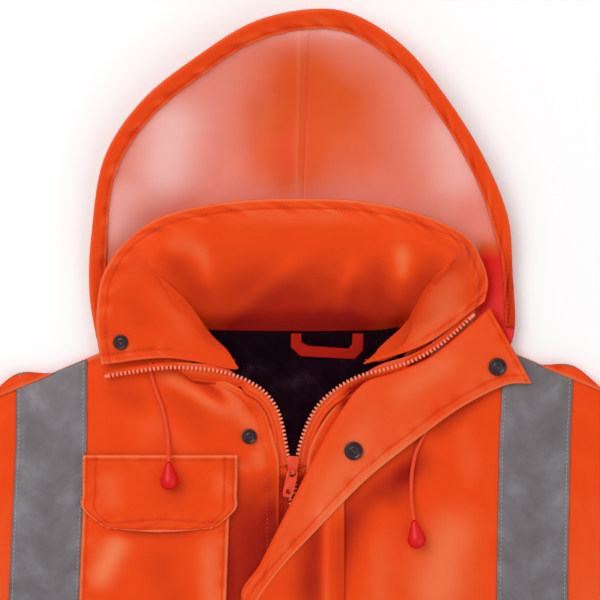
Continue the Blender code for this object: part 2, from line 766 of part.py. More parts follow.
def tape_edges(lean):
    """Both edges of a zip tape that shows on the left of its teeth for a positive lean."""
    reach = max(abs(lean) * TAPE_REACH, TAPE_LEAST)
    return (TAPE_START, reach) if lean >= 0 else (-reach, -TAPE_START)


def make_zip():
    for side, route in (("right", ZIP_RIGHT), ("left", ZIP_LEFT)):
        fine = refine(route, 2)
        line = [point[:3] for point in fine]
        half = TEETH_WIDTH / 2
        ribbon("zip_teeth_" + side, line, [(-half, half)] * len(line), TEETH_HIGH, "zip")
        below = [(x, y, z - TAPE_DROP - TAPE) for x, y, z in line]
        ribbon("zip_tape_" + side, below, [tape_edges(point[3]) for point in fine], TAPE, "orange")


def make_lining():
    under = BACK_UNDER + CLOTH + GAP
    slab("lining", list(LINING_OUTLINE), under, under + LINING, "lining")
    bed = under + LINING + LOOP_RISE
    slab("hanger_loop", list(LOOP_OUTLINE), bed, bed + LOOP_THICK, "orange_dark")


def extruded(name, profile, half, colour):
    """A y z profile drawn out to both sides of x = 0."""
    count = len(profile)
    points = [(x, y, z) for x in (-half, half) for y, z in profile]
    faces = [tuple(range(count)), tuple(reversed(range(count, 2 * count)))]
    faces += [(i, count + i, count + (i + 1) % count, (i + 1) % count) for i in range(count)]
    return build(name, points, faces, colour, smooth=False)


def make_slider():
    """Slider body over the end of the closed teeth, with the arch that holds its pull tab."""
    half, low, top = SLIDER_WIDTH / 2, SLIDER_BED, SLIDER_BED + SLIDER_THICK
    far, near = SLIDER_Y, SLIDER_Y - SLIDER_LENGTH
    outline = [
        (-half * 0.62, near), (half * 0.62, near), (half * 0.78, near + 5), (half, far - 3.5),
        (half * 0.8, far), (-half * 0.8, far), (-half, far - 3.5), (-half * 0.78, near + 5),
    ]
    slider = slab("zip_slider", outline, low, top, "zip")
    bar_y, bar_z = PULL_BAR[1], PULL_BAR[2]
    first, last = bar_y - BRIDGE_REACH, bar_y + BRIDGE_REACH
    ceiling = bar_z + PULL_THICK / 2 + GAP
    high = ceiling + BRIDGE_WALL
    foot = top - 0.6
    slope = 0.8
    profile = [
        (first, foot), (first, high - slope), (first + slope, high), (last - slope, high),
        (last, high - slope), (last, foot), (last - BRIDGE_WALL, foot), (last - BRIDGE_WALL, ceiling),
        (first + BRIDGE_WALL, ceiling), (first + BRIDGE_WALL, foot),
    ]
    bridge = extruded("slider_bridge", profile, BRIDGE_WIDTH / 2, "zip")
    bridge.hide_render = True
    bridge.display_type = "WIRE"
    union = slider.modifiers.new("bridge", "BOOLEAN")
    union.object = bridge
    union.operation = "UNION"
    union.solver = "EXACT"


def make_pull():
    """Pull tab: a plate with an eye round the slider's arch and a window near its end."""
    rows, columns = len(PULL_DOWN), len(PULL_ACROSS)
    plan = []
    for row, down in enumerate(PULL_DOWN):
        for column, across in enumerate(PULL_ACROSS):
            if row in (0, rows - 1) and column in (0, columns - 1):
                across *= 1 - PULL_CORNER / abs(across)
            plan.append((across, down))
    cells = {(r, c) for r in range(rows - 1) for c in range(columns - 1)} - set(PULL_HOLES)
    turn = Matrix.Rotation(PULL_LEAN, 3, "Z")
    points = []
    for height in (-PULL_THICK / 2, PULL_THICK / 2):
        points += [Vector(PULL_BAR) + turn @ Vector((x, y, height)) for x, y in plan]
    size = len(plan)
    faces = []
    for row, column in sorted(cells):
        a = row * columns + column
        low = (a, a + 1, a + columns + 1, a + columns)
        faces.append(low)
        faces.append(tuple(size + i for i in reversed(low)))
        beside = ((row - 1, column), (row, column + 1), (row + 1, column), (row, column - 1))
        for index, other in enumerate(beside):
            if other not in cells:
                first, last = low[index], low[(index + 1) % 4]
                faces.append((last, first, size + first, size + last))
    axis = (Vector(PULL_BAR) - Vector((CENTRE_X, CENTRE_Y, 0))) * MM
    build("zip_pull", points, faces, "zip", smooth=False, origin=axis)


def surface(names):
    """Function that gives the highest point and its normal over a place, on the named pieces."""
    trees = []
    for name in names:
        made = bpy.data.objects[name]
        points = [(made.location + v.co) / MM + Vector((CENTRE_X, CENTRE_Y, 0)) for v in made.data.vertices]
        trees.append(BVHTree.FromPolygons(points, [tuple(f.vertices) for f in made.data.polygons]))

    def over(x, y):
        best = None
        for tree in trees:
            hit, normal, _, _ = tree.ray_cast(Vector((x, y, 90)), Vector((0, 0, -1)))
            if hit and (best is None or hit.z > best[0].z):
                best = (hit, normal)
        return best

    return over


def make_snaps():
    for name, piece, x, y, radius in SNAPS:
        over = surface([piece])
        ring = [over(x + radius * dx, y + radius * dy)[0] for dx, dy in ((1, 0), (0, 1), (-1, 0), (0, -1))]
        lean = (ring[0] - ring[2]).cross(ring[1] - ring[3]).normalized()
        middle = over(x, y)[0]
        rise = max((point - middle).dot(lean) for point in ring + [middle])
        place = middle + lean * (max(rise, 0) + GAP)
        turned(name, [(high, share * radius) for share, high in STUD_PROFILE], place, lean, "snap")
    over = surface(["storm_flap"])
    for index, y in enumerate(CAP_LEVELS):
        place = over(CAP_X, y)[0] + Vector((0, 0, GAP))
        profile = [(high, share * CAP_RADIUS) for share, high in STUD_PROFILE]
        turned("snap_cap_" + str(index + 1), profile, place, (0, 0, 1), "snap")


def make_cords():
    for side, route in (("right", CORD_RIGHT), ("left", CORD_LEFT)):
        over = surface(["front_" + side] + (["pocket", "pocket_flap"] if side == "right" else []))
        fine = refine(route, 6)
        line, walked = [fine[0]], 0.0
        for before, after in zip(fine, fine[1:]):
            walked += math.dist(before[:2], after[:2])
            if walked >= CORD_STEP:
                line.append(after)
                walked = 0.0
        if line[-1] != fine[-1]:
            line[-1] = fine[-1]
        centre = Vector((CENTRE_X, CENTRE_Y, 0))
        path = []
        for x, y, lift in line:
            beside = (-CORD, 0, CORD)
            bed = max(over(x + dx, y + dy)[0].z for dx in beside for dy in beside)
            path.append(Vector((x, y, bed + CORD / 2 + GAP + lift)))
        curve = bpy.data.curves.new("drawcord_" + side, "CURVE")
        curve.dimensions = "3D"
        curve.bevel_depth = CORD / 2 * MM
        curve.bevel_resolution = 2
        curve.use_fill_caps = True
        spline = curve.splines.new("POLY")
        spline.points.add(len(path) - 1)
        for point, place in zip(spline.points, path):
            point.co = (*((place - centre) * MM), 1)
        curve.materials.append(finish("orange"))
        cord = bpy.data.objects.new("drawcord_" + side, curve)
        bpy.context.scene.collection.objects.link(cord)
        away = path[-1] - path[-2]
        away = Vector((away.x, away.y, 0)).normalized()
        start = path[-1] + away * CORD_END_GAP
        radius = CORD_END_WIDE / 2
        bed = max(over(start.x + dx, start.y - dy)[0].z for dx in (-4, 0, 4) for dy in (0, 6, 12, 18))
        axis = Vector((away.x, away.y, 0))
        far = start + axis * CORD_END_LONG * 0.75
        lean = far - start
        lean.z = bed + radius + GAP + 0.2 - start.z
        profile = [(along * CORD_END_LONG, share * radius) for along, share in CORD_END]
        turned("cord_end_" + side, profile, start, lean, "rubber")


def clear_scene():
    for old in list(bpy.data.objects):
        bpy.data.objects.remove(old, do_unlink=True)


def main():
    clear_scene()
    make_back()
    make_fronts()
    make_pocket()
    make_sleeves()
    make_collar()
    make_hood()
    make_storm_flap()
    make_zip()
    make_lining()
    make_slider()
    make_pull()
    make_snaps()
    make_cords()


main()
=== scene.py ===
"""Hi-vis work jacket with a hood, laid on its back with the collar turned out and the zip part open.

Lengths in the tables are millimetres from the middle of the back neck seam: X to the wearer's left,
Y from hem to hood, Z up from the floor.
"""

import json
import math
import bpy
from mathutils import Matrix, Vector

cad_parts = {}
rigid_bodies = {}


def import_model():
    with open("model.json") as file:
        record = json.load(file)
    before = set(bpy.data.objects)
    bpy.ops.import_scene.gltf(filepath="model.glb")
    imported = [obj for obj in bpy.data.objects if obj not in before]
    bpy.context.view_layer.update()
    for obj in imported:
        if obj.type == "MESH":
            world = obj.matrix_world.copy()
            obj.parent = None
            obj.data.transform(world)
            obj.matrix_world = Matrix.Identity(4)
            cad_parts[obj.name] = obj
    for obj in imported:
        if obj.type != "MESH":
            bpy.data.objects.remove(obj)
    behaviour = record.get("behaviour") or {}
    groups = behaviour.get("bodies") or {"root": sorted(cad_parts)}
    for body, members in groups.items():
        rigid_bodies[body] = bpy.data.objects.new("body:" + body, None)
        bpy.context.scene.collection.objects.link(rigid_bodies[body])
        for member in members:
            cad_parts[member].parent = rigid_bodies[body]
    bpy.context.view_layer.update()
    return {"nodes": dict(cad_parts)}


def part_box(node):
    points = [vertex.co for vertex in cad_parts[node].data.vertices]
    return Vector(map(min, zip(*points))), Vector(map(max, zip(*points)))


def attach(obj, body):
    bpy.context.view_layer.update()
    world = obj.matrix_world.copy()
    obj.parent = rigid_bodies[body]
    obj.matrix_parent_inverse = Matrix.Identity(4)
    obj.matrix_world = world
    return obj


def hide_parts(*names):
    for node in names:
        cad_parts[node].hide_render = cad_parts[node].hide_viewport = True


bl_info = {
    "name": "Hi-vis work jacket",
    "version": (1, 0, 0),
    "blender": (4, 5, 0),
    "location": "3D View > Sidebar > Jacket",
    "description": "Makes a laid-out hi-vis jacket piece by piece around its packed solids",
    "category": "Add Mesh",
}

import bpy
import numpy as np
from mathutils import Vector
from mathutils.bvhtree import BVHTree

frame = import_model()

MM = 0.001
HEM_Y = -800.0
CENTRE_X = 0.0
CENTRE_Y = HEM_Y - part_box("front_left")[0].y / MM  # tables to frame
BODY = "jacket"
RNG = np.random.default_rng(7)

# Thicknesses and heights of the layers
GAP = 0.3
CLOTH = 2.5
SHELL = 1.8
BAND = 2.2
FLAP = 2.0
TAPE = 0.8
TAPE_WIDTH = 50.0
BACK_UNDER = TAPE + GAP
FRONT_UNDER = BACK_UNDER + CLOTH + GAP
PUFF = 2.4
PUFF_REACH = 22.0
LINING_TOP = 4.9
LINING = 1.0

NECK_POINT = {"right": (88.0, 5.0), "left": (88.0, 13.0)}
SHOULDER_TIP_X = 278.0
SHOULDER_SLOPE = 0.414
ZIP_EDGE_X = 10.5

# Outline of a front and the back below the shoulder tip: y, distance from the centre
OUTLINE = (
    (-60, 279), (-110, 271), (-160, 268), (-220, 272), (-290, 290), (-345, 322), (-420, 324), (-560, 326),
    (-800, 330),
)
# Inner edge of the front tapes: y, right, left
TAPE_LINE = ((0, 147, 151), (-80, 147, 147), (-190, 152, 145), (-400, 156, 150), (-800, 160, 158))
# Neckline and opening edge of each front, from the shoulder to the zip slider: x, y
NECK_EDGE = {
    "right": ((88, 5), (80, -14), (64, -28), (44, -37), (28, -47), (18, -60), (14.5, -75), (10.5, -92)),
    "left": ((88, 13), (82, -14), (64, -34), (43, -43), (30, -53), (21, -65), (14, -79), (10.5, -92)),
}
# Lower levels of a front: height at the opening and tapes, height at the side
LEVELS = (
    (-116, -243), (-141, -262), (-165, -283), (-200, -305), (-232, -325), (-265, -345), (-330, -395),
    (-400, -445), (-480, -510), (-560, -580), (-640, -650), (-720, -724), (-782, -783), (-800, -800),
)
INNER_COLUMNS = (0.0, 0.12, 0.25, 0.42, 0.6, 0.8)
OUTER_COLUMNS = (0.3, 0.6, 0.86, 1.0)
NECK_LIFT = {"right": (-46, -34, 7.5, 30), "left": (48, -40, 7.0, 32)}

# Soft folds of the fronts, troughs negative: x and y of both ends, width, height
FOLDS = (
    (-70, -300, -40, -620, 34, 1.6),
    (-235, -170, -262, -420, 26, 1.5),
    (-120, -480, -230, -700, 30, 1.4),
    (100, -210, 60, -560, 36, 1.6),
    (236, -150, 250, -450, 28, 1.5),
    (120, -400, 250, -640, 32, 1.5),
)

# Collar, seen side: neck seam, ridge, top edge, sideways bow of the turned-out part
COLLAR = (
    ((-41, -19, 18), (-42, -26.5, 20.5), (-136, -23, 15.6), 6.5),
    ((-54, -20, 15), (-48, -12, 23.5), (-139, -4, 16.2), 2),
    ((-69, -13, 12), (-58, -1, 27), (-139, 18, 17.5), 0),
    ((-78, -3, 9), (-74, 21, 34), (-134, 42, 21.5), 0),
    ((-74, 2, 6), (-98, 46, 40), (-116, 66, 30), 0),
    ((-55, 0.9, 5.2), (-76, 60, 34), (-88, 83, 33), 0),
    ((-28, 0.3, 5), (-37, 62, 27), (-42, 92, 31), 0),
    ((3, 0.2, 5), (4, 63, 25), (5, 94, 30), 0),
    ((34, 0.3, 5), (43, 62, 27), (50, 92, 31), 0),
    ((62, 1.0, 5.2), (80, 60, 34), (90, 83, 33), 0),
    ((78, 3, 6.2), (110, 50, 40), (122, 68, 31), 0),
    ((81.5, -2, 10), (97, 36, 37), (134, 50, 23), 0),
    ((76, -14, 14), (81, 8, 31), (138, 38, 19), 0),
    ((63, -20, 17), (65, -8, 25), (138, 30, 18), -3),
    ((51, -19, 19), (53, -22, 22), (136, 22, 17.4), -8),
)

# Hood: rim x y and height of its underside, neck attachment x y
HOOD_RIGHT = (
    ((-106, -15, 9), (-93, -9)), ((-124, -12, 9), (-92, -5)), ((-138, -4, 9), (-91, 2)),
    ((-143, 28, 8), (-88, 15)), ((-142, 66, 13), (-70, 10)), ((-133, 121, 20), (-52, 6)),
    ((-106, 162, 25), (-36, 4)), ((-66, 194, 28), (-22, 3)), ((-28, 217, 30), (-9, 3)),
    ((12, 226, 31), (3.85, 3)),
)
HOOD_LEFT = (
    ((12, 226, 31), (4.15, 3)), ((44, 222, 30), (17, 3)), ((78, 200, 28), (31, 4)),
    ((106, 167, 25), (46, 5)), ((134, 123, 20), (62, 7)), ((151.5, 80, 14), (78, 12)),
    ((155.5, 40, 8.5), (96, 22)), ((157, 4, 9), (99, 7)), ((150, -16, 9), (99, -8)),
    ((132, -28, 9), (98, -18)), ((116, -35, 9), (98, -25)),
)
RIM_SKIP = {"right": 2, "left": 3}
HOOD_FOOT = 80.0
RIM_WIDTH = 12.0
RIM_THICK = 2.2

# Storm flap, seen side: seam, roll, free edge
FLAP_ROWS = (
    ((140, 15, 12.8), (139, 17, 18), (169, -36, 14)),
    ((121, -4, 14), (120, 0.5, 19.5), (150, -37.5, 14.5)),
    ((98, -22, 15), (96, -18, 21.5), (119, -53, 16)),
    ((73, -34, 16), (71, -28.5, 22.5), (91, -73, 16.8)),
    ((55, -47, 16.8), (49, -37, 22), (69, -90, 14.5)),
    ((43, -70, 14.6), (29.5, -63, 19), (51, -105, 14)),
    ((38, -95, 11.8), (17, -86, 16.5), (31, -125, 13.8)),
    ((36, -118, 10.4), (5, -110, 15.5), (12, -145, 13.8)),
    ((36, -142, 9.4), (-8, -136, 15.5), (-4, -162, 13.8)),
    ((36, -168, 9.4), (-22, -164, 15), (-17, -178, 13.8)),
)
FLAP_EDGE_X = -44.0
FLAP_SEAM_X = 36.0
FLAP_LEVELS = (-225, -270, -330, -400, -480, -560, -640, -720, -786)
FLAP_BED = 9.4
FLAP_OVER_ZIP = 10.8
FLAP_CROWN = 4.0

TEETH_WIDTH = 2.9
TEETH_HIGH = 2.4
TOOTH_PITCH = 3.0
TAPE_REACH = 7.3
ZIP_HIGH = 7.4
# Middle line of the teeth, from the hem to the collar's corner: x, y, z, share of the zip tape on this side
ZIP_RIGHT = (
    (-1.65, -786, ZIP_HIGH, 1), (-1.65, -600, ZIP_HIGH, 1), (-1.65, -400, ZIP_HIGH, 1),
    (-1.65, -220, ZIP_HIGH, 1), (-1.65, -104, ZIP_HIGH, 1), (-2.4, -95, ZIP_HIGH, 1),
    (-3.4, -88, ZIP_HIGH, 1), (-4.8, -81, 8.4, 1), (-7.5, -66, 12, 1), (-12, -53, 14, 1),
    (-20.5, -42, 16, 1), (-31, -35, 17.5, 1), (-40, -31, 18.5, 0), (-50, -28, 19.5, -0.5),
    (-68, -25.5, 20.5, -0.5), (-90, -25, 20, -0.5), (-113, -28, 17, -0.5), (-134, -31.5, 13.8, -0.5),
)
ZIP_LEFT = (
    (1.65, -786, ZIP_HIGH, -1), (1.65, -600, ZIP_HIGH, -1), (1.65, -400, ZIP_HIGH, -1),
    (1.65, -220, ZIP_HIGH, -1), (1.65, -104, ZIP_HIGH, -1), (2.4, -95, ZIP_HIGH, -1),
    (3.4, -88, ZIP_HIGH, -1), (4.8, -81, 8.4, -1), (9, -68, 11.8, -1), (15, -56, 14, -1),
    (23.5, -46, 16, -1), (36, -36.5, 17.8, -1), (50, -30, 19, 0), (64, -26.5, 19.8, 0.6),
    (86, -19.5, 20, 0.6), (104, -9, 18.8, 0.6), (118, 3, 17.4, 0.6), (129, 13, 16.2, 0.6),
)

POCKET_RIGHT = (44.5, 51.0)
POCKET_THICK = 2.2
# Pocket flap outline, from its seam down: y at the middle, y at the ends, outer x, inner x
POCKET_FLAP = (
    (-88, -88, -148.6, -40), (-102, -102, -148.8, -40), (-116, -115, -149, -40.5),
    (-130, -125.5, -149, -41), (-139.5, -136, -137, -52), (-141.5, -139, -131, -58),
)
SLEEVE_HIGH = 7.2
CUFF_OUTER = (769.0, -486.0)
CUFF_INNER = (672.0, -601.0)
UNDERARM_Y = -345.0
ARMHOLE_GAP = 2.2
ELBOW_FOLDS = ((0.36, 1.2), (0.54, 1.6))
LINING_OUTLINE = (
    (-62, -2.5), (-76, -10), (-70, -34), (-50, -56), (-32, -84), (-22, -118),
    (20, -118), (32, -88), (52, -62), (72, -36), (76, -10), (64, -2.5),
)
CORD = 3.0


# ---------------------------------------------------------------- sums


def clamp(value):
    return np.clip(value, 0.0, 1.0)


def ease(value):
    """0 to 1 with a soft start and end."""
    value = clamp(value)
    return value * value * (3.0 - 2.0 * value)


def blend_points(first, second, share):
    return np.asarray(first, float) + (np.asarray(second, float) - np.asarray(first, float)) * share


def curve_at(points, places):
    """Catmull-Rom curve through points, read at places counted in stations."""
    points = np.asarray(points, float)
    places = np.asarray(places, float)
    last = len(points) - 1
    padded = np.concatenate([[2 * points[0] - points[1]], points, [2 * points[-1] - points[-2]]])
    index = np.clip(places.astype(int), 0, last - 1)
    t = (places - index).reshape((-1,) + (1,) * (points.ndim - 1))
    a, b, c, d = (padded[index + k] for k in range(4))
    bend = (2 * a - 5 * b + 4 * c - d) * t**2 + (3 * b - a - 3 * c + d) * t**3
    return 0.5 * (2 * b + (c - a) * t + bend)


def spaced(points, step):
    """Stations along a curve at even distances of about step."""
    dense = curve_at(points, np.linspace(0, len(points) - 1, 60 * len(points)))
    length = np.concatenate([[0], np.cumsum(np.linalg.norm(np.diff(dense, axis=0), axis=1))])
    count = max(2, int(round(length[-1] / step)) + 1)
    wanted = np.linspace(0, length[-1], count)
    return np.interp(wanted, length, np.linspace(0, len(points) - 1, len(dense)))


def fine_net(net, rows, columns):
    """A net read at chosen row and column stations on smooth curves."""
    net = np.asarray(net, float)
    net = curve_at(net, rows)
    return np.swapaxes(curve_at(np.swapaxes(net, 0, 1), columns), 0, 1)


def table_read(table, at, column=1):
    """A table's column at heights y; rows run from high y to low."""
    rows = np.asarray(table, float)[::-1]
    return np.interp(at, rows[:, 0], rows[:, column])


def sign(side):
    return -1.0 if side == "right" else 1.0


def shoulder_y(side, x):
    point_x, point_y = NECK_POINT[side]
    return point_y - (np.abs(x) - point_x) * SHOULDER_SLOPE


def tape_x(side, y):
    return table_read(TAPE_LINE, y, 1 if side == "right" else 2)


def ridge(x, y, fold):
    """Soft ridge or trough between two points: x0, y0, x1, y1, width, height."""
    x0, y0, x1, y1, width, height = fold
    run = np.array([x1 - x0, y1 - y0], float)
    length = np.linalg.norm(run)
    share = ((x - x0) * run[0] + (y - y0) * run[1]) / length**2
    across = (run[0] * (y - y0) - run[1] * (x - x0)) / length
    taper = ease(share * 2.5 + 0.2) * ease((1.0 - share) * 2.5 + 0.2)
    return height * taper * np.exp(-((across / width) ** 2))


def ridges(x, y, folds):
    return sum(ridge(x, y, fold) for fold in folds)


def waviness(x, y, length, seed):
    """Slow unevenness of cloth, about -1 to 1."""
    total = 0
    for k in range(6):
        angle = seed * 1.7 + k * 2.399
        scale = 2 * math.pi / (length * (0.7 + 0.23 * k))
        total = total + np.sin((x * math.cos(angle) + y * math.sin(angle)) * scale + seed * 3.1 + k * k)
    return total / 3.2


def net_normals(net):
    """Normals of a net, on the side of columns crossed with rows."""
    along = np.gradient(net, axis=1)
    down = np.gradient(net, axis=0)
    normal = np.cross(along, down)
    return normal / np.maximum(np.linalg.norm(normal, axis=2, keepdims=True), 1e-9)


def edge_distance(net, edge):
    """Distance over the cloth of every net point from one of its edges."""
    axis = 1 if edge in ("first_column", "last_column") else 0
    steps = np.linalg.norm(np.diff(net, axis=axis), axis=2)
    pad = [(0, 0), (0, 0)]
    pad[axis] = (1, 0)
    length = np.cumsum(np.pad(steps, pad), axis=axis)
    if edge.startswith("last"):
        length = np.take(length, [-1], axis=axis) - length
    return length


def seam_line(net, normals, edge, inset):
    """Points and normals of a line that runs inside an edge at a distance."""
    distance = edge_distance(net, edge)
    if edge in ("first_row", "last_row"):
        distance, net, normals = distance.T, np.swapaxes(net, 0, 1), np.swapaxes(normals, 0, 1)
    points, ways = [], []
    for row, place, way in zip(distance, net, normals):
        order = np.argsort(row)
        at = np.interp(inset, row[order], order.astype(float))
        low = int(min(at, len(row) - 2))
        share = at - low
        points.append(place[low] * (1 - share) + place[low + 1] * share)
        ways.append(way[low])
    return np.array(points), np.array(ways)


class Cloth:
    """A piece of cloth being made: its seen side as a net of points, the way out of it and its tone, which is painted
    shade below 0 and painted highlight above 0."""

    def __init__(self, net, normals, tone=0.0):
        self.net = net
        self.normals = normals
        self.tone = np.full(net.shape[:2], float(tone))

    def fold(self, strokes):
        """Raises ridges and sinks troughs."""
        x, y = self.net[..., 0], self.net[..., 1]
        self.net = self.net + self.normals * ridges(x, y, strokes)[..., None]

    def paint(self, strokes):
        """Paints shade where a stroke's amount is below 0 and highlight where it is above 0."""
        self.tone = self.tone + ridges(self.net[..., 0], self.net[..., 1], strokes)

    def bind(self, *edges, light=0.55, reach=1.1):
        """Lets the turned-in edges catch the light."""
        for edge in edges:
            self.tone = self.tone + light * np.exp(-((edge_distance(self.net, edge) / reach) ** 2))

    def seam(self, edge, inset, depth=0.45, width=1.5, pucker=0.3, seed=0.0, colour="thread", sewn=True):
        """Sinks a puckered trough along a line of stitches and sews it."""
        distance = edge_distance(self.net, edge)
        run = edge_distance(self.net, "first_row" if edge.endswith("column") else "first_column")
        trough = -depth * np.exp(-(((distance - inset) / width) ** 2))
        ripple = np.sin(run / 3.1 + seed) + 0.7 * np.sin(run / 1.9 + seed * 2.3)
        ripple = ripple + 0.9 * np.sin(run / 7.3 + seed * 5)
        near = np.exp(-(((distance - inset) / (width * 2.8)) ** 2))
        self.net = self.net + self.normals * (trough + pucker * 0.4 * ripple * near)[..., None]
        # Painted shade along the stitch line, and painted shading that follows the pucker.
        line = np.exp(-(((distance - inset) / 0.75) ** 2))
        self.tone = self.tone - line * 0.34 + 0.14 * ripple * near * pucker
        if sewn:
            sew(*seam_line(self.net, self.normals, edge, inset), colour=colour)


# ---------------------------------------------------------------- materials


def linear(colour):
    """sRGB hex to linear RGBA."""
    channels = [int(colour[i : i + 2], 16) / 255 for i in (0, 2, 4)]
    return (*[c / 12.92 if c <= 0.04045 else ((c + 0.055) / 1.055) ** 2.4 for c in channels], 1.0)


def node(tree, kind, settings=None, links=None):
    """Adds a node; links maps its input to another node's output."""
    made = tree.nodes.new(kind)
    for name, value in (settings or {}).items():
        if isinstance(name, int) or name in made.inputs:
            made.inputs[name].default_value = value
        else:
            setattr(made, name, value)
    for name, (source, output) in (links or {}).items():
        tree.links.new(source.outputs[output], made.inputs[name])
    return made


def ramp(tree, stops, source, output):
    made = node(tree, "ShaderNodeValToRGB", links={"Fac": (source, output)})
    elements = made.color_ramp.elements
    for index, (place, colour) in enumerate(stops):
        element = elements[index] if index < 2 else elements.new(place)
        element.position = place
        element.color = colour if len(colour) == 4 else (*colour, 1)
    return made


def new_material(name):
    made = bpy.data.materials.new(name)
    made.use_nodes = True
    return made, made.node_tree, made.node_tree.nodes["Principled BSDF"]


def woven(name, colour, deep, pale, roughness, sheen, thread=0.9, depth=0.12, coat=0.0, weave_share=0.14, darkest="7A0C0B"):
    """Plain woven cloth. The threads are drawn a little coarser than the real 0.4 mm so that they show.
    deep and pale are its painted shade and painted highlight colours, where the tone attribute falls to -1 and rises to
    1, and darkest is its deepest painted shade, where it is -2. pale also tints the sheen and the specular."""
    made, tree, shader = new_material(name)
    place = node(tree, "ShaderNodeUVMap", {"uv_map": "cloth"})
    bands = {"wave_type": "BANDS", "Scale": math.tau / 20 / thread, "Distortion": 0.6, "Detail": 1.0}
    warp = node(tree, "ShaderNodeTexWave", {**bands, "bands_direction": "X"}, {"Vector": (place, "UV")})
    weft = node(tree, "ShaderNodeTexWave", {**bands, "bands_direction": "Y"}, {"Vector": (place, "UV")})
    weave = node(tree, "ShaderNodeMath", {"operation": "MULTIPLY"}, {0: (warp, "Fac"), 1: (weft, "Fac")})
    slow_settings = {"Scale": 0.025, "Detail": 3.0, "Roughness": 0.55}
    slow = node(tree, "ShaderNodeTexNoise", slow_settings, {"Vector": (place, "UV")})
    fine_settings = {"Scale": 0.35, "Detail": 4.0, "Roughness": 0.6}
    fine = node(tree, "ShaderNodeTexNoise", fine_settings, {"Vector": (place, "UV")})
    # The tone attribute is painted shade below 0 and painted highlight above 0; the slow drift added to it is random
    # unevenness of the cloth.
    tone = node(tree, "ShaderNodeAttribute", {"attribute_name": "tone"})
    drift = node(tree, "ShaderNodeMapRange", {"To Min": -0.16, "To Max": 0.16}, {"Value": (slow, "Fac")})
    level = node(tree, "ShaderNodeMath", {"operation": "ADD"}, {0: (tone, "Fac"), 1: (drift, "Result")})
    half = {"operation": "MULTIPLY_ADD", 1: 0.25, 2: 0.5}
    place_on_ramp = node(tree, "ShaderNodeMath", half, {0: (level, "Value")})
    stops = ((0.0, linear(darkest)), (0.25, linear(deep)), (0.5, linear(colour)), (0.75, linear(pale)))
    tint = ramp(tree, stops, place_on_ramp, "Value")
    threads = node(
        tree, "ShaderNodeMix", {"data_type": "RGBA", "blend_type": "MULTIPLY", "Factor": weave_share},
        {6: (tint, "Color"), 7: (weave, "Value")},
    )
    tree.links.new(threads.outputs[2], shader.inputs["Base Color"])
    limits = {"To Min": roughness - 0.06, "To Max": roughness + 0.06}
    rough = node(tree, "ShaderNodeMapRange", limits, {"Value": (fine, "Fac")})
    tree.links.new(rough.outputs["Result"], shader.inputs["Roughness"])
    adding = {"operation": "MULTIPLY_ADD", 1: 0.6}
    relief = node(tree, "ShaderNodeMath", adding, {0: (fine, "Fac"), 2: (weave, "Value")})
    bump = node(tree, "ShaderNodeBump", {"Strength": depth, "Distance": 0.0006}, {"Height": (relief, "Value")})
    tree.links.new(bump.outputs["Normal"], shader.inputs["Normal"])
    shader.inputs["Sheen Weight"].default_value = sheen
    shader.inputs["Sheen Roughness"].default_value = 0.4
    shader.inputs["Sheen Tint"].default_value = linear(pale)
    shader.inputs["Specular IOR Level"].default_value = 0.35
    shader.inputs["Specular Tint"].default_value = linear(pale)
    shader.inputs["Coat Weight"].default_value = coat
    shader.inputs["Coat Roughness"].default_value = 0.4
    return made


def smooth_finish(name, colour, roughness, grain=0.0, metallic=0.0, specular=0.25, scale=1200.0):
    """A moulded or enamelled surface with a faint grain; grain is its bump strength."""
    made, tree, shader = new_material(name)
    place = node(tree, "ShaderNodeTexCoord")
    noise = node(
        tree, "ShaderNodeTexNoise", {"Scale": scale, "Detail": 3.0}, {"Vector": (place, "Object")}
    )
    bright = linear(colour)
    dark = tuple(c * 0.8 for c in bright[:3])
    tint = ramp(tree, ((0.3, dark), (0.7, bright)), noise, "Fac")
    tree.links.new(tint.outputs["Color"], shader.inputs["Base Color"])
    rough = node(
        tree, "ShaderNodeMapRange", {"To Min": roughness - 0.05, "To Max": roughness + 0.05}, {"Value": (noise, "Fac")}
    )
    tree.links.new(rough.outputs["Result"], shader.inputs["Roughness"])
    bump = node(tree, "ShaderNodeBump", {"Strength": grain, "Distance": 0.0003}, {"Height": (noise, "Fac")})
    tree.links.new(bump.outputs["Normal"], shader.inputs["Normal"])
    shader.inputs["Metallic"].default_value = metallic
    shader.inputs["Specular IOR Level"].default_value = specular
    return made


def glass_bead_tape(name):
    """Retroreflective tape: glass beads bonded to grey cloth, which gives a flat satin grey with faint streaks."""
    made, tree, shader = new_material(name)
    place = node(tree, "ShaderNodeUVMap", {"uv_map": "cloth"})
    slow = node(tree, "ShaderNodeTexNoise", {"Scale": 0.03, "Detail": 4.0, "Roughness": 0.6}, {"Vector": (place, "UV")})
    beads = node(tree, "ShaderNodeTexNoise", {"Scale": 2.2, "Detail": 2.0}, {"Vector": (place, "UV")})
    tint = ramp(tree, ((0.3, linear("5D5659")), (0.5, linear("6C6669")), (0.72, linear("827E81"))), slow, "Fac")
    speck = node(
        tree, "ShaderNodeMix", {"data_type": "RGBA", "blend_type": "OVERLAY", "Factor": 0.25},
        {6: (tint, "Color"), 7: (beads, "Fac")},
    )
    tree.links.new(speck.outputs[2], shader.inputs["Base Color"])
    bump = node(tree, "ShaderNodeBump", {"Strength": 0.1, "Distance": 0.0003}, {"Height": (beads, "Fac")})
    tree.links.new(bump.outputs["Normal"], shader.inputs["Normal"])
    shader.inputs["Roughness"].default_value = 0.42
    shader.inputs["Metallic"].default_value = 0.25
    return made


FINISHES = {}


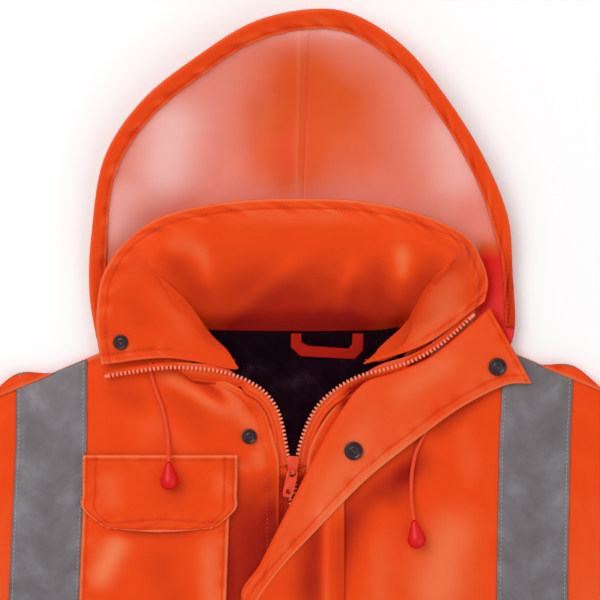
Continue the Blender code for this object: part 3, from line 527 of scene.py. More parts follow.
def finishes():
    """Every material, made once."""
    if FINISHES:
        return FINISHES
    # Coated polyester plain weave in fluorescent orange-red: an even, slightly silky face with strong colour
    # Its deep and darkest colours are painted shade and its pale colour painted highlight, picked by the tone
    # attribute; pale also tints the sheen and the specular.
    FINISHES["orange"] = woven("fluorescent_polyester", "F24816", "9E1410", "F88A58", 0.5, 0.1)
    # The same cloth in the hanger loop, cut across the roll and seen in the shade of the neck
    FINISHES["loop"] = woven("fluorescent_polyester_strip", "A81C12", "6E0E0C", "E04A2A", 0.55, 0.05)
    # Polyurethane film on the back of the hood cloth: paler, smoother, the orange shows through it
    # Its deep and darkest colours are painted shade, the bright red darkest one low on the hood's left side, and its
    # pale colour painted light on the hood's sides.
    FINISHES["coating"] = woven(
        "coated_hood_lining", "F28A78", "E8581C", "FFC8C0", 0.45, 0.1, depth=0.05, coat=0.1, darkest="F0130F"
    )
    FINISHES["reflective"] = glass_bead_tape("glass_bead_tape")
    # Brushed knit lining in near-black purple: rough, no shine, visible texture
    # Its deep and pale colours are painted shade and painted highlight, picked by the tone attribute.
    FINISHES["lining"] = woven(
        "knitted_lining", "200D17", "10050A", "3C2434", 0.85, 0.05, thread=2.2, depth=0.7, weave_share=0.4
    )
    # Sewing thread, polyester, a touch deeper than the cloth
    FINISHES["thread"] = smooth_finish("polyester_thread", "E8502A", 0.55, 0.2)
    FINISHES["pale_thread"] = smooth_finish("pale_polyester_thread", "BFB2B2", 0.55, 0.2)
    # Braided polyester cord, the cloth's colour with a soft shine
    FINISHES["cord"] = smooth_finish("braided_polyester_cord", "F04A22", 0.5, 0.3, scale=2600.0)
    # Moulded acetal zip teeth, semi-gloss
    FINISHES["teeth"] = smooth_finish("moulded_acetal", "FB8E70", 0.32, 0.05)
    # Enamelled zinc slider and tab, smooth and glossy
    FINISHES["enamel"] = smooth_finish("enamelled_zinc", "EA4420", 0.28, 0.03)
    # Soft rubber cord ends, satin
    FINISHES["rubber"] = smooth_finish("soft_rubber", "E40F16", 0.3, 0.03)
    # Dark moulded press studs, satin
    FINISHES["snap"] = smooth_finish("dark_press_stud", "2A0C18", 0.24, 0.05, 0.0, 0.4)
    return FINISHES


# ---------------------------------------------------------------- mesh making


def to_frame(points):
    """Table millimetres to metres in the frame."""
    return (np.asarray(points, float) - (CENTRE_X, CENTRE_Y, 0.0)) * MM


def new_object(name, points, faces, finish, uv=None, tone=None):
    mesh = bpy.data.meshes.new(name)
    mesh.from_pydata(to_frame(points).tolist(), [], faces)
    if uv is not None:
        layer = mesh.uv_layers.new(name="cloth")
        loops = np.zeros(len(mesh.loops), np.int32)
        mesh.loops.foreach_get("vertex_index", loops)
        layer.data.foreach_set("uv", np.asarray(uv, np.float32)[loops].ravel())
    if tone is not None:
        mesh.attributes.new("tone", "FLOAT", "POINT").data.foreach_set("value", np.asarray(tone, np.float32))
    mesh.materials.append(finishes()[finish])
    made = bpy.data.objects.new(name, mesh)
    bpy.context.scene.collection.objects.link(made)
    mesh.shade_smooth()
    return made


def keep(made, slot, *nodes, body=BODY):
    """Binds a piece to its body and hides the solids it stands for; slot is not used."""
    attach(made, body)
    if nodes:
        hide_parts(*nodes)
    return made


def wall(name, cloth, thick, finish, side=-1.0, closed=False):
    """A closed solid of cloth. Its net is the seen side and the other side lies thick away, along side
    times the normals. The edges are rounded by a middle row. A closed net meets itself round its columns."""
    net, normals = cloth.net, cloth.normals
    rows, columns = net.shape[:2]
    other = net + normals * (np.broadcast_to(thick, net.shape[:2]) * side)[..., None]
    size = rows * columns
    uv = np.stack([edge_distance(net, "first_column"), edge_distance(net, "first_row")], axis=2).reshape(-1, 2)
    index = np.arange(size).reshape(rows, columns)
    ahead = np.roll(index, -1, axis=1) if closed else index[:, 1:]
    here = index if closed else index[:, :-1]
    corners = [corner.ravel() for corner in (here[:-1], ahead[:-1], ahead[1:], here[1:])]
    seen = np.stack(corners, axis=1)
    hidden = np.stack(corners[::-1], axis=1) + size
    loops = [index[0], index[-1, ::-1]]
    if not closed:
        loops = [np.concatenate([index[0], index[1:, -1], index[-1, -2::-1], index[-2:0:-1, 0]])]
    flat, back = net.reshape(-1, 3), other.reshape(-1, 3)
    faces, middles, used, base = [seen, hidden], [], [], 2 * size
    for loop in loops:
        inner = np.array([neighbour(i, rows, columns, closed) for i in loop])
        out = flat[loop] - flat[inner]
        out /= np.maximum(np.linalg.norm(out, axis=1, keepdims=True), 1e-9)
        depth = np.linalg.norm(flat[loop] - back[loop], axis=1, keepdims=True)
        middles.append((flat[loop] + back[loop]) / 2 + out * depth * 0.4)
        used.append(loop)
        ring = np.arange(len(loop))
        after = (ring + 1) % len(loop)
        faces.append(np.stack([loop[after], loop[ring], base + ring, base + after], axis=1))
        faces.append(np.stack([base + after, base + ring, size + loop[ring], size + loop[after]], axis=1))
        base += len(loop)
    faces = np.concatenate(faces)
    if np.einsum("ijk,ijk->ij", net_normals(net), normals).mean() * side > 0:
        faces = faces[:, ::-1]
    used = np.concatenate(used)
    points = np.concatenate([flat, back, *middles])
    tone = cloth.tone.ravel()
    faces = faces[:, ::-1].tolist()
    return new_object(
        name, points, faces, finish, np.concatenate([uv, uv, uv[used]]), np.concatenate([tone, tone, tone[used]])
    )


def neighbour(i, rows, columns, closed):
    """The point next to an edge point, inside the net."""
    row, column = divmod(int(i), columns)
    row = min(max(row, 1), rows - 2)
    if not closed:
        column = min(max(column, 1), columns - 2)
    return row * columns + column


def copies(name, shape, places, ways, ups, finish, scale=1.0):
    """One mesh of many copies of a small shape; shape is points and faces with x along the way and z up."""
    base, faces = shape
    ways = ways / np.maximum(np.linalg.norm(ways, axis=1, keepdims=True), 1e-9)
    across = np.cross(ups, ways)
    across /= np.maximum(np.linalg.norm(across, axis=1, keepdims=True), 1e-9)
    ups = np.cross(ways, across)
    scale = np.broadcast_to(np.asarray(scale, float), (len(places), 3))
    local = base[None] * scale[:, None]
    points = places[:, None] + local[..., :1] * ways[:, None] + local[..., 1:2] * across[:, None]
    points = points + local[..., 2:] * ups[:, None]
    count = len(base)
    all_faces = [tuple(f + k * count for f in face) for k in range(len(places)) for face in faces]
    return new_object(name, points.reshape(-1, 3), all_faces, finish)


def small_shape(kind):
    """Points and faces of a repeated small part, modelled once at its real size in millimetres."""
    bpy.ops.object.select_all(action="DESELECT")
    if kind == "stitch":
        bpy.ops.mesh.primitive_uv_sphere_add(segments=6, ring_count=4, radius=1.0)
        size = (1.1, 0.26, 0.22)
    else:
        bpy.ops.mesh.primitive_cube_add(size=1.0)
        size = (1.8, 2.9, 2.3)
    made = bpy.context.object
    bpy.ops.object.mode_set(mode="EDIT")
    bpy.ops.mesh.select_all(action="SELECT")
    bpy.ops.transform.resize(value=size)
    if kind == "tooth":
        bpy.ops.mesh.bevel(offset=0.75, segments=2, affect="EDGES")
    bpy.ops.object.mode_set(mode="OBJECT")
    points = np.array([v.co for v in made.data.vertices])
    faces = [tuple(f.vertices) for f in made.data.polygons]
    bpy.data.objects.remove(made, do_unlink=True)
    return points, faces


def refined(name, source, finish, bevel, slot, body=BODY, segments=3, smooth=40):
    """A packed hard part with its triangles merged and its edges rounded by a bevel in millimetres."""
    cad = frame["nodes"][source]
    bpy.ops.object.select_all(action="DESELECT")
    made = bpy.data.objects.new(name, cad.data.copy())
    bpy.context.scene.collection.objects.link(made)
    made.matrix_world = cad.matrix_world
    made.select_set(True)
    bpy.context.view_layer.objects.active = made
    bpy.ops.object.transform_apply(location=True, rotation=True, scale=True)
    bpy.ops.object.mode_set(mode="EDIT")
    bpy.ops.mesh.select_all(action="SELECT")
    bpy.ops.mesh.remove_doubles(threshold=0.00001)
    bpy.ops.mesh.dissolve_limited(angle_limit=math.radians(2))
    bpy.ops.object.mode_set(mode="OBJECT")
    rounding = made.modifiers.new("bevel", "BEVEL")
    rounding.width = bevel * MM
    rounding.segments = segments
    rounding.limit_method = "ANGLE"
    rounding.angle_limit = math.radians(30)
    bpy.ops.object.modifier_apply(modifier="bevel")
    bpy.ops.object.shade_smooth_by_angle(angle=math.radians(smooth))
    made.data.materials.clear()
    made.data.materials.append(finishes()[finish])
    return keep(made, slot, source, body=body)


STITCHES = {"thread": [], "pale_thread": []}


def sew(points, normals, colour="thread", lift=0.12):
    """Adds a row of stitches along a line on the cloth."""
    pitch = bpy.context.scene.jacket.stitch_pitch
    points = np.asarray(points, float)
    steps = np.linalg.norm(np.diff(points, axis=0), axis=1)
    length = np.concatenate([[0], np.cumsum(steps)])
    if length[-1] < pitch:
        return
    at = np.arange(pitch / 2, length[-1], pitch)
    at = at + RNG.uniform(-0.15, 0.15, len(at))
    place = np.stack([np.interp(at, length, points[:, k]) for k in range(3)], axis=1)
    ahead = np.stack([np.interp(at + 0.8, length, points[:, k]) for k in range(3)], axis=1)
    behind = np.stack([np.interp(at - 0.8, length, points[:, k]) for k in range(3)], axis=1)
    up = np.stack([np.interp(at, length, normals[:, k]) for k in range(3)], axis=1)
    way = ahead - behind
    sound = np.linalg.norm(way, axis=1) > 1e-6
    STITCHES[colour].append((place[sound] + up[sound] * lift, way[sound], up[sound]))


# ---------------------------------------------------------------- nets of the pieces


def front_plan(side):
    """Plan net of a front: rows from shoulder to hem, columns from opening to outline."""
    edge = NECK_EDGE[side]
    tip_y = shoulder_y(side, SHOULDER_TIP_X)
    tape_top = shoulder_y(side, tape_x(side, -20))
    rows = []
    for index, (edge_x, edge_y) in enumerate(edge):
        share = index / (len(edge) - 1)
        tape_y = tape_top + (edge[-1][1] - tape_top) * share
        side_y = tip_y + (-221.0 - tip_y) * share
        rows.append((edge_x, edge_y, tape_y, side_y, index == 0))
    rows += [(ZIP_EDGE_X, inner_y, inner_y, side_y, False) for inner_y, side_y in LEVELS]
    net = []
    for edge_x, edge_y, tape_y, side_y, on_shoulder in rows:
        inside = float(tape_x(side, tape_y))
        outside = inside + TAPE_WIDTH
        rim_x = SHOULDER_TIP_X if on_shoulder else float(table_read(OUTLINE, side_y))
        row = [blend_points((edge_x, edge_y), (inside, tape_y), share) for share in INNER_COLUMNS]
        row += [(inside, tape_y), (inside + TAPE_WIDTH / 2, tape_y), (outside, tape_y)]
        row += [blend_points((outside, tape_y), (rim_x, side_y), share) for share in OUTER_COLUMNS]
        if on_shoulder:
            row = [(point[0], shoulder_y(side, point[0])) for point in row]
        net.append([(sign(side) * point[0], point[1]) for point in row])
    return np.array(net, float)


def front_top(side, x, y):
    """Height of a front's seen side."""
    inside = np.minimum(np.minimum(table_read(OUTLINE, y) - np.abs(x), y - HEM_Y), shoulder_y(side, x) - y)
    rise = PUFF * (1.0 - np.exp(-np.maximum(inside, 0) / PUFF_REACH))
    lift_x, lift_y, height, reach = NECK_LIFT[side]
    lift = height * np.exp(-((x - lift_x) ** 2 + (y - lift_y) ** 2) / (2 * reach**2))
    folds = ridges(x, y, FOLDS) * ease((-y - 90) / 90)
    small = ridges(x, y, CREASES[side]) + 0.35 * waviness(x, y, 90, 1.0) * ease(inside / 30)
    return FRONT_UNDER + rise + lift + CLOTH + folds + small


# Creases of each front near the neck and pocket: x and y of both ends, width, height
CREASES = {
    "right": (
        (-97, -28, -42, -61, 6, 1.9),
        (-75, -28, -44, -53, 4, -1.8),
        (-92, -50, -60, -92, 10, -1.4),
        (-45, -50, -28, -110, 7, -1.2),
        (-44, -84, -20, -92, 4, 0.9),
        (-48, -96, -22, -100, 3.5, -1.1),
        (-30, -104, -28, -190, 13, -2.2),
        (-120, -40, -136, -90, 9, 0.8),
        (-30, -130, -26, -330, 7, 1.2),
        (-136, -160, -112, -200, 9, 0.8),
        (-100, -170, -60, -215, 12, 0.7),
    ),
    "left": (
        (60, -50, 44, -110, 8, 1.5),
        (120, -60, 100, -130, 12, 0.9),
        (92, -75, 86, -150, 7, -0.8),
        (128, -120, 112, -200, 14, 0.8),
        (60, -130, 66, -240, 12, 0.7),
        (226, -90, 214, -200, 10, 0.9),
    ),
}


def front_net(side, first=0.0, last=12.0, step=2.4):
    """Fine plan net of a front between two column stations, with its heights."""
    plan = front_plan(side)
    rows = []
    for k in range(len(plan) - 1):
        reach = np.linalg.norm(plan[k + 1, 6] - plan[k, 6])
        pitch = 2.6 if plan[k, 6, 1] > -240 else 7.0
        count = max(2, int(round(reach / pitch)))
        rows += list(k + np.arange(count) / count)
    rows.append(len(plan) - 1)
    columns = []
    for k in range(int(first), int(last)):
        reach = np.linalg.norm(plan[12, k + 1] - plan[12, k])
        count = max(2, int(round(reach / step)))
        columns += list(k + np.arange(count) / count)
    columns.append(last)
    fine = fine_net(plan, np.array(rows), np.array(columns))
    z = front_top(side, fine[..., 0], fine[..., 1])
    return np.concatenate([fine, z[..., None]], axis=2)


def up_normals(net, side_sign=1.0):
    """Normals of a net turned upwards."""
    normals = net_normals(net)
    flip = np.sign(normals[..., 2:3].mean())
    return normals * (flip if flip else 1.0)


def collar_net():
    net = []
    for neck, top, edge, bow in COLLAR:
        neck, top, edge = (np.array(p, float) for p in (neck, top, edge))
        bend = np.array([*blend_points(neck[:2], top[:2], 0.3), neck[2] + (top[2] - neck[2]) * 0.56])
        middle = (top + edge) / 2 + (0, bow, 1.5)
        net.append([neck, bend, top, middle, edge])
    return np.array(net)


def body_ledge(x, y):
    """Height that clears the shoulders for what lies over them."""
    side = np.where(x < 0, "right", "left")
    result = np.zeros_like(x)
    for name in ("right", "left"):
        edge = np.where(np.abs(x) > NECK_POINT[name][0], shoulder_y(name, x), NECK_POINT[name][1])
        beside = ease((np.abs(x) - 60) / 22)
        over = ease(1.0 - (y - edge - 3) / 24)
        level = (front_top(name, x, np.minimum(y, edge)) + TAPE + 3 * GAP) * over * beside
        result = np.where(side == name, level, result)
    return result


def hood_net(stations, columns=46, step=2.6):
    """Seen side of one half of the hood, from its rim to the neck."""
    rim = np.array([s[0] for s in stations], float)
    neck = np.array([s[1] for s in stations], float)
    at = spaced(rim, step)
    rim, neck = curve_at(rim, at), curve_at(neck, at)
    share = np.linspace(0, 1, columns) ** 1.15
    plan = rim[:, None, :2] + (neck - rim[:, :2])[:, None] * share[None, :, None]
    length = np.linalg.norm(rim[:, :2] - neck, axis=1)
    foot = np.minimum(0.75, HOOD_FOOT / length)
    slope = np.maximum(0.0, 1.0 - share[None] / foot[:, None]) ** 1.4 * rim[:, 2:3]
    z = np.maximum(slope, body_ledge(plan[..., 0], plan[..., 1]))
    return np.concatenate([plan, z[..., None]], axis=2)


# ---------------------------------------------------------------- settings and operators


class JacketSettings(bpy.types.PropertyGroup):
    """Sizes and colours that a user would change."""

    stitch_pitch: bpy.props.FloatProperty(
        name="Stitch pitch", description="Length of one stitch, in millimetres", default=3.1, min=2.0, max=6.0
    )
    floor_tone: bpy.props.FloatVectorProperty(
        name="Floor", description="Colour of the floor", subtype="COLOR", size=4, default=(0.95, 0.95, 0.95, 1)
    )
    key_power: bpy.props.FloatProperty(
        name="Main light", description="Power of the large light", default=26.0, unit="POWER"
    )


class JACKET_OT_stage(bpy.types.Operator):
    """Floor, lights and camera"""

    bl_idname = "jacket.stage"
    bl_label = "Stage"

    def execute(self, context):
        settings = context.scene.jacket
        bpy.ops.object.select_all(action="DESELECT")
        bpy.ops.mesh.primitive_plane_add(size=12.0, location=(0, 0, 0))
        floor = context.object
        floor.name = "floor"
        made, _, shader = new_material("paper_floor")
        shader.inputs["Base Color"].default_value = settings.floor_tone
        shader.inputs["Roughness"].default_value = 0.9
        floor.data.materials.append(made)
        for name, place, size, power in (
            ("softbox", (-0.9, 1.1, 1.9), 1.6, settings.key_power),
            ("fill", (1.3, -0.3, 1.7), 2.2, settings.key_power * 0.42),
        ):
            light = bpy.data.lights.new(name, "AREA")
            light.size = size
            light.energy = power
            lamp = bpy.data.objects.new(name, light)
            lamp.location = place
            lamp.rotation_euler = (Vector((0, 0.25, 0)) - Vector(place)).to_track_quat("-Z", "Y").to_euler()
            context.scene.collection.objects.link(lamp)
        world = bpy.data.worlds.new("studio")
        context.scene.world = world
        world.use_nodes = True
        world.node_tree.nodes["Background"].inputs["Color"].default_value = (1, 1, 1, 1)
        world.node_tree.nodes["Background"].inputs["Strength"].default_value = 0.55
        context.scene.view_settings.view_transform = "Standard"
        lens = bpy.data.cameras.new("camera")
        camera = bpy.data.objects.new("camera", lens)
        context.scene.collection.objects.link(camera)
        distance, width = 2.4, 0.4286
        camera.location = ((5.0 - CENTRE_X) * MM, (22.9 - CENTRE_Y) * MM, distance)
        lens.sensor_width = 36.0
        lens.lens = 36.0 * distance / width
        lens.clip_end = 50.0
        context.scene.camera = camera
        return {"FINISHED"}


# Strokes of painted shade below 0 and painted highlight above it: x and y of both ends, width, amount
FRONT_TONES = {
    "right": (
        (-31, -95, -33, -260, 18, -0.95),
        (-14, -95, -12, -230, 9, -0.8),
        (-46, -104, -47, -330, 5, -0.5),
        (-97, -28, -42, -61, 5, 0.45),
        (-73, -28, -46, -51, 3.5, -0.6),
        (-56, -32, -22, -78, 6, 0.4),
        (-90, -36, -56, -84, 11, -0.2),
        (-28, -84, -20, -100, 7, 0.4),
        (-48, -92, -28, -99, 4, 0.35),
        (-136, -40, -100, -52, 9, -0.3),
        (-152, -90, -152, -330, 3.5, -0.7),
        (-110, -60, -60, -80, 14, 0.1),
        (-215, -120, -235, -360, 26, 0.2),
    ),
    "left": (
        (100, -84, 46, -124, 10, -0.75),
        (50, -112, 14, -190, 13, -0.85),
        (84, -92, 70, -130, 7, -0.4),
        (30, -130, 24, -260, 9, -0.55),
        (24, -125, 22, -250, 2.5, 0.45),
        (60, -130, 64, -260, 9, 0.2),
        (118, -120, 96, -210, 18, 0.6),
        (120, -60, 128, -110, 8, 0.15),
        (140, -36, 96, -78, 7, -0.45),
        (30, -52, 52, -42, 9, -0.9),
        (215, -120, 235, -360, 26, 0.2),
    ),
}


class JACKET_OT_back(bpy.types.Operator):
    """Back panel and its reflective tapes"""

    bl_idname = "jacket.back"
    bl_label = "Back"

    def execute(self, context):
        across = np.linspace(-1, 1, 110)
        half = np.interp(np.abs(across) * SHOULDER_TIP_X, [0, 60, 88, SHOULDER_TIP_X], [-1, -0.5, 0, 0])
        x_top = across * SHOULDER_TIP_X
        side_top = np.where(x_top < 0, shoulder_y("right", x_top), shoulder_y("left", x_top)) - GAP
        top = np.where(np.abs(x_top) < 88, half, side_top)
        down = np.linspace(0, 1, 150)[:, None]
        y = top + (HEM_Y - top) * down
        wide = table_read(OUTLINE, y) - (table_read(OUTLINE, y) - SHOULDER_TIP_X) * (1 - ease(down * 12))
        x = across * wide
        z = BACK_UNDER + 0.25 * (1 + waviness(x, y, 160, 4.0)) * ease((wide - np.abs(x)) / 30)
        net = np.stack([x, y, z], axis=2)
        cloth = Cloth(net, np.broadcast_to((0.0, 0.0, -1.0), net.shape))
        cloth.seam("last_row", 22.0, 0.3, sewn=True)
        made = keep(wall("shown_back", cloth, CLOTH - 0.3, "orange"), "orange", "back")
        for side in ("right", "left"):
            from_edge = np.linspace(0, TAPE_WIDTH, 12)[None]
            top = shoulder_y(side, tape_x(side, -20) + from_edge) - 2
            down = np.linspace(0, 1, 220)[:, None]
            y = top + (HEM_Y - top) * down
            tape = tape_x(side, y) + from_edge
            net = np.stack([tape * sign(side), y, np.full(tape.shape, 0.35)], axis=2)
            cloth = Cloth(net, np.broadcast_to((0.0, 0.0, -1.0), net.shape))
            for edge in ("first_column", "last_column"):
                cloth.seam(edge, 2.3, 0.0, pucker=0.0, colour="pale_thread")
            made = keep(wall("shown_tape_back_" + side, cloth, TAPE - 0.35, "reflective"), "reflective")
            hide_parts("tape_back_" + side)
        return {"FINISHED"}


class JACKET_OT_fronts(bpy.types.Operator):
    """Fronts with their reflective tapes"""

    bl_idname = "jacket.fronts"
    bl_label = "Fronts"

    def execute(self, context):
        for side in ("right", "left"):
            net = front_net(side)
            cloth = Cloth(net, up_normals(net))
            # Painted shade and highlights from FRONT_TONES, and painted highlights along the opening and the neck.
            cloth.paint(FRONT_TONES[side])
            cloth.bind("first_column", "first_row")
            cloth.seam("first_column", 8.0, 0.6, 1.5, 0.6, 1.0)
            cloth.seam("first_row", 4.0, 0.35, 1.5, 0.3, 2.0)
            cloth.seam("last_row", 22.0)
            made = keep(wall("shown_front_" + side, cloth, CLOTH, "orange"), "orange", "front_" + side)
            net = front_net(side, 6.0, 8.0)
            net[..., 2] += GAP + TAPE
            cloth = Cloth(net, up_normals(net))
            cloth.bind("first_column", "last_column", light=0.3, reach=0.8)
            for edge, seed in (("first_column", 0.3), ("last_column", 2.1)):
                cloth.seam(edge, 2.3, 0.3, 1.2, 0.45, seed, "pale_thread")
            made = keep(wall("shown_tape_front_" + side, cloth, TAPE, "reflective"), "reflective")
            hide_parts("tape_front_" + side)
        return {"FINISHED"}


# Creases, painted shade and painted highlights of the pocket and its flap: x and y of both ends, width, height or
# amount
POCKET_CREASES = ((-60, -150, -110, -235, 9, 0.9), (-140, -160, -120, -200, 8, 0.6), (-80, -150, -70, -220, 10, -0.6))
POCKET_TONES = (
    (-120, -140, -142, -185, 8, 0.75),
    (-60, -140, -58, -215, 8, 0.4),
    (-100, -150, -80, -215, 14, -0.25),
    (-60, -141, -138, -141, 5, -0.55),
)
POCKET_FLAP_CREASES = ((-60, -96, -80, -132, 7, 0.5), (-112, -94, -122, -130, 8, -0.5))
POCKET_FLAP_TONES = ((-132, -96, -128, -128, 9, 0.25), (-78, -98, -88, -128, 12, -0.2), (-52, -96, -50, -120, 6, 0.25))


class JACKET_OT_pocket(bpy.types.Operator):
    """Chest pocket and its flap"""

    bl_idname = "jacket.pocket"
    bl_label = "Pocket"

    def execute(self, context):
        plan = front_plan("right")
        rows = plan[len(NECK_EDGE["right"]) - 1 : len(NECK_EDGE["right"]) + 6]
        levels = rows[:, 0, 1]
        fall = (levels - levels[0]) / (levels[-1] - levels[0])
        inner = -(POCKET_RIGHT[0] + (POCKET_RIGHT[1] - POCKET_RIGHT[0]) * fall)
        outer = -(tape_x("right", levels) - 0.8 + GAP)
        share = np.linspace(0, 1, 5)
        x = inner[:, None] + (outer - inner)[:, None] * share
        coarse = np.stack([x, np.broadcast_to(levels[:, None], x.shape)], axis=2)
        net = fine_net(coarse, np.linspace(0, 6, 110), np.linspace(0, 4, 90))
        z = front_top("right", net[..., 0], net[..., 1]) + 0.5 + POCKET_THICK
        net = np.concatenate([net, z[..., None]], axis=2)
        cloth = Cloth(net, up_normals(net))
        cloth.fold(POCKET_CREASES)
        # Painted shade and highlights from the tables, and painted highlights along the side edges.
        cloth.paint(POCKET_TONES)
        cloth.bind("first_column", "last_column", light=0.6)
        for edge in ("first_column", "last_column", "last_row"):
            cloth.seam(edge, 2.6, 0.4, 1.3, 0.5, 1.4)
        cloth.seam("last_row", 8.8, 0.35, 1.3, 0.4, 2.4)
        made = keep(wall("shown_pocket", cloth, POCKET_THICK, "orange"), "orange", "pocket")
        coarse = []
        for middle_y, end_y, outer_x, inner_x in POCKET_FLAP:
            share = np.array((0.0, 0.17, 0.34, 0.5, 0.66, 0.83, 1.0))
            bow = 1.0 - (2 * share - 1) ** 2
            coarse.append(np.stack([inner_x + (outer_x - inner_x) * share, end_y + (middle_y - end_y) * bow], axis=1))
        net = fine_net(coarse, np.linspace(0, 5, 56), np.linspace(0, 6, 110))
        z = front_top("right", net[..., 0], net[..., 1]) + 1.0 + POCKET_THICK + FLAP
        net = np.concatenate([net, z[..., None]], axis=2)
        cloth = Cloth(net, up_normals(net))
        cloth.fold(POCKET_FLAP_CREASES)
        # Painted shade and highlights from the tables, and painted highlights round the edges.
        cloth.paint(POCKET_FLAP_TONES)
        cloth.bind("first_column", "last_column", "last_row", "first_row", light=0.7)
        for edge in ("first_column", "last_column", "last_row"):
            cloth.seam(edge, 2.2, 0.35, 1.2, 0.5, 0.6)
            cloth.seam(edge, 8.6, 0.35, 1.2, 0.4, 1.7)
        cloth.seam("first_row", 3.0, 0.3, 1.2, 0.4, 3.0)
        made = keep(wall("shown_pocket_flap", cloth, FLAP, "orange"), "orange", "pocket_flap")
        return {"FINISHED"}


class JACKET_OT_sleeves(bpy.types.Operator):
    """Sleeves, flat tubes with a hemmed cuff"""

    bl_idname = "jacket.sleeves"
    bl_label = "Sleeves"

    def execute(self, context):
        angle = np.linspace(0, 2 * math.pi, 96, endpoint=False)
        across = 0.5 - 0.5 * np.sign(np.cos(angle)) * np.abs(np.cos(angle)) ** 0.5
        up = 0.5 + 0.5 * np.sign(np.sin(angle)) * np.abs(np.sin(angle)) ** 0.28
        for side in ("right", "left"):
            share = np.linspace(0, 1, 130)[:, None]
            x, y = sleeve_plan(side, share, across[None])
            folds = sum(rise * np.exp(-(((share - at) / 0.06) ** 2)) for at, rise in ELBOW_FOLDS)
            wrinkle = 0.5 * waviness(x, y, 70, 5.0 + sign(side)) * ease(np.minimum(across, 1 - across)[None] * 6)
            high = SLEEVE_HIGH + folds + wrinkle * (up[None] > 0.5)
            net = np.stack([sign(side) * x, y, up[None] * high], axis=2)
            upward = np.clip(2.2 * (up - 0.5), -1, 1)[None]
            plan = (net - net.mean(axis=1, keepdims=True))[..., :2]
            plan = plan / np.linalg.norm(plan, axis=2, keepdims=True)
            flat = np.sqrt(1 - upward**2)
            normals = np.stack([plan[..., 0] * flat, plan[..., 1] * flat, 0 * x + upward], axis=2)
            cloth = Cloth(net, normals)
            run = edge_distance(net, "last_row")
            dip = np.exp(-(((run - 24) / 1.5) ** 2))
            cloth.net = net - normals * (0.35 * dip)[..., None]
            # Painted shade along the hem's stitch line.
            cloth.tone = cloth.tone - 0.5 * np.exp(-(((run - 24) / 0.75) ** 2))
            made = wall("shown_sleeve_" + side, cloth, 1.2, "orange", closed=True)
            keep(made, "orange", "sleeve_" + side)
        return {"FINISHED"}


def sleeve_plan(side, share, across):
    """Plan of a sleeve, for the wearer's left side; it starts at the armhole."""
    tip = (SHOULDER_TIP_X + 1, shoulder_y(side, SHOULDER_TIP_X))
    underarm = (float(table_read(OUTLINE, UNDERARM_Y)) + 1, UNDERARM_Y)
    bow = 10 * np.sin(math.pi * share) * (1 - share)
    outer_x, outer_y = tip[0] + (CUFF_OUTER[0] - tip[0]) * share + bow, tip[1] + (CUFF_OUTER[1] - tip[1]) * share
    outer_y = outer_y + bow * 0.5
    inner_x = underarm[0] + (CUFF_INNER[0] - underarm[0]) * share
    inner_y = underarm[1] + (CUFF_INNER[1] - underarm[1]) * share
    hole_y = tip[1] + (UNDERARM_Y - tip[1]) * across
    hole_x = table_read(OUTLINE, hole_y) + ARMHOLE_GAP
    follow = 1.0 - ease(share / 0.3)
    x = outer_x + (inner_x - outer_x) * across + (hole_x - (tip[0] + (underarm[0] - tip[0]) * across)) * follow
    y = outer_y + (inner_y - outer_y) * across
    return x, y


# Creases, painted shade and painted highlights of the collar: x and y of both ends, width, height or amount
COLLAR_CREASES = (
    (-112, 40, -96, 10, 10, 0.9),
    (-118, -8, -122, 14, 5, 0.6),
    (100, 40, 84, 4, 9, 0.8),
    (126, 34, 132, 48, 5, 0.6),
    (30, 50, 34, 8, 10, 0.8),
    (-50, 6, 14, 64, 6, 1.6),
    (-28, 4, 34, 58, 6, -1.2),
    (6, 8, 60, 58, 7, 1.1),
    (-74, 60, -66, 30, 6, -1.0),
    (-86, 14, -100, 2, 5, 0.7),
    (-128, 8, -104, -4, 6, 0.5),
    (58, 60, 62, 14, 10, 1.0),
)
COLLAR_SHADE = (
    (-70, 25, 84, 22, 25, -0.8),
    (-92, 58, -58, 16, 10, -0.5),
    (58, 60, 66, 8, 10, -0.3),
    (104, 56, 70, 0, 10, -0.55),
    (76, 64, 78, 34, 5, 0.5),
    (30, 8, 44, 62, 5, 0.22),
    (-66, 66, -58, 30, 5, 0.3),
    (-72, 2, 76, 2, 9, -0.25),
)
COLLAR_TONES = (
    (-72, 3, 76, 3, 11, -0.75),
    (-50, 8, 16, 62, 6, 0.25),
    (6, 10, 60, 56, 6, 0.16),
    (-90, 60, -64, 62, 9, 0.25),
    (60, 44, 88, 56, 12, 0.15),
    (-126, 30, -100, -2, 12, -0.15),
    (-104, 34, -60, -16, 8, 0.12),
    (118, 44, 96, 10, 9, 0.25),
    (124, 26, 80, -12, 9, 0.3),
    (-70, 82, 70, 82, 6, 0.15),
)


def even(values, times):
    """Values of a net softened against their neighbours."""
    for _ in range(times):
        wide = np.pad(values, ((1, 1), (1, 1), (0, 0)), mode="edge")
        values = (wide[:-2, 1:-1] + wide[2:, 1:-1] + wide[1:-1, :-2] + wide[1:-1, 2:] + 2 * values) / 6
    return values


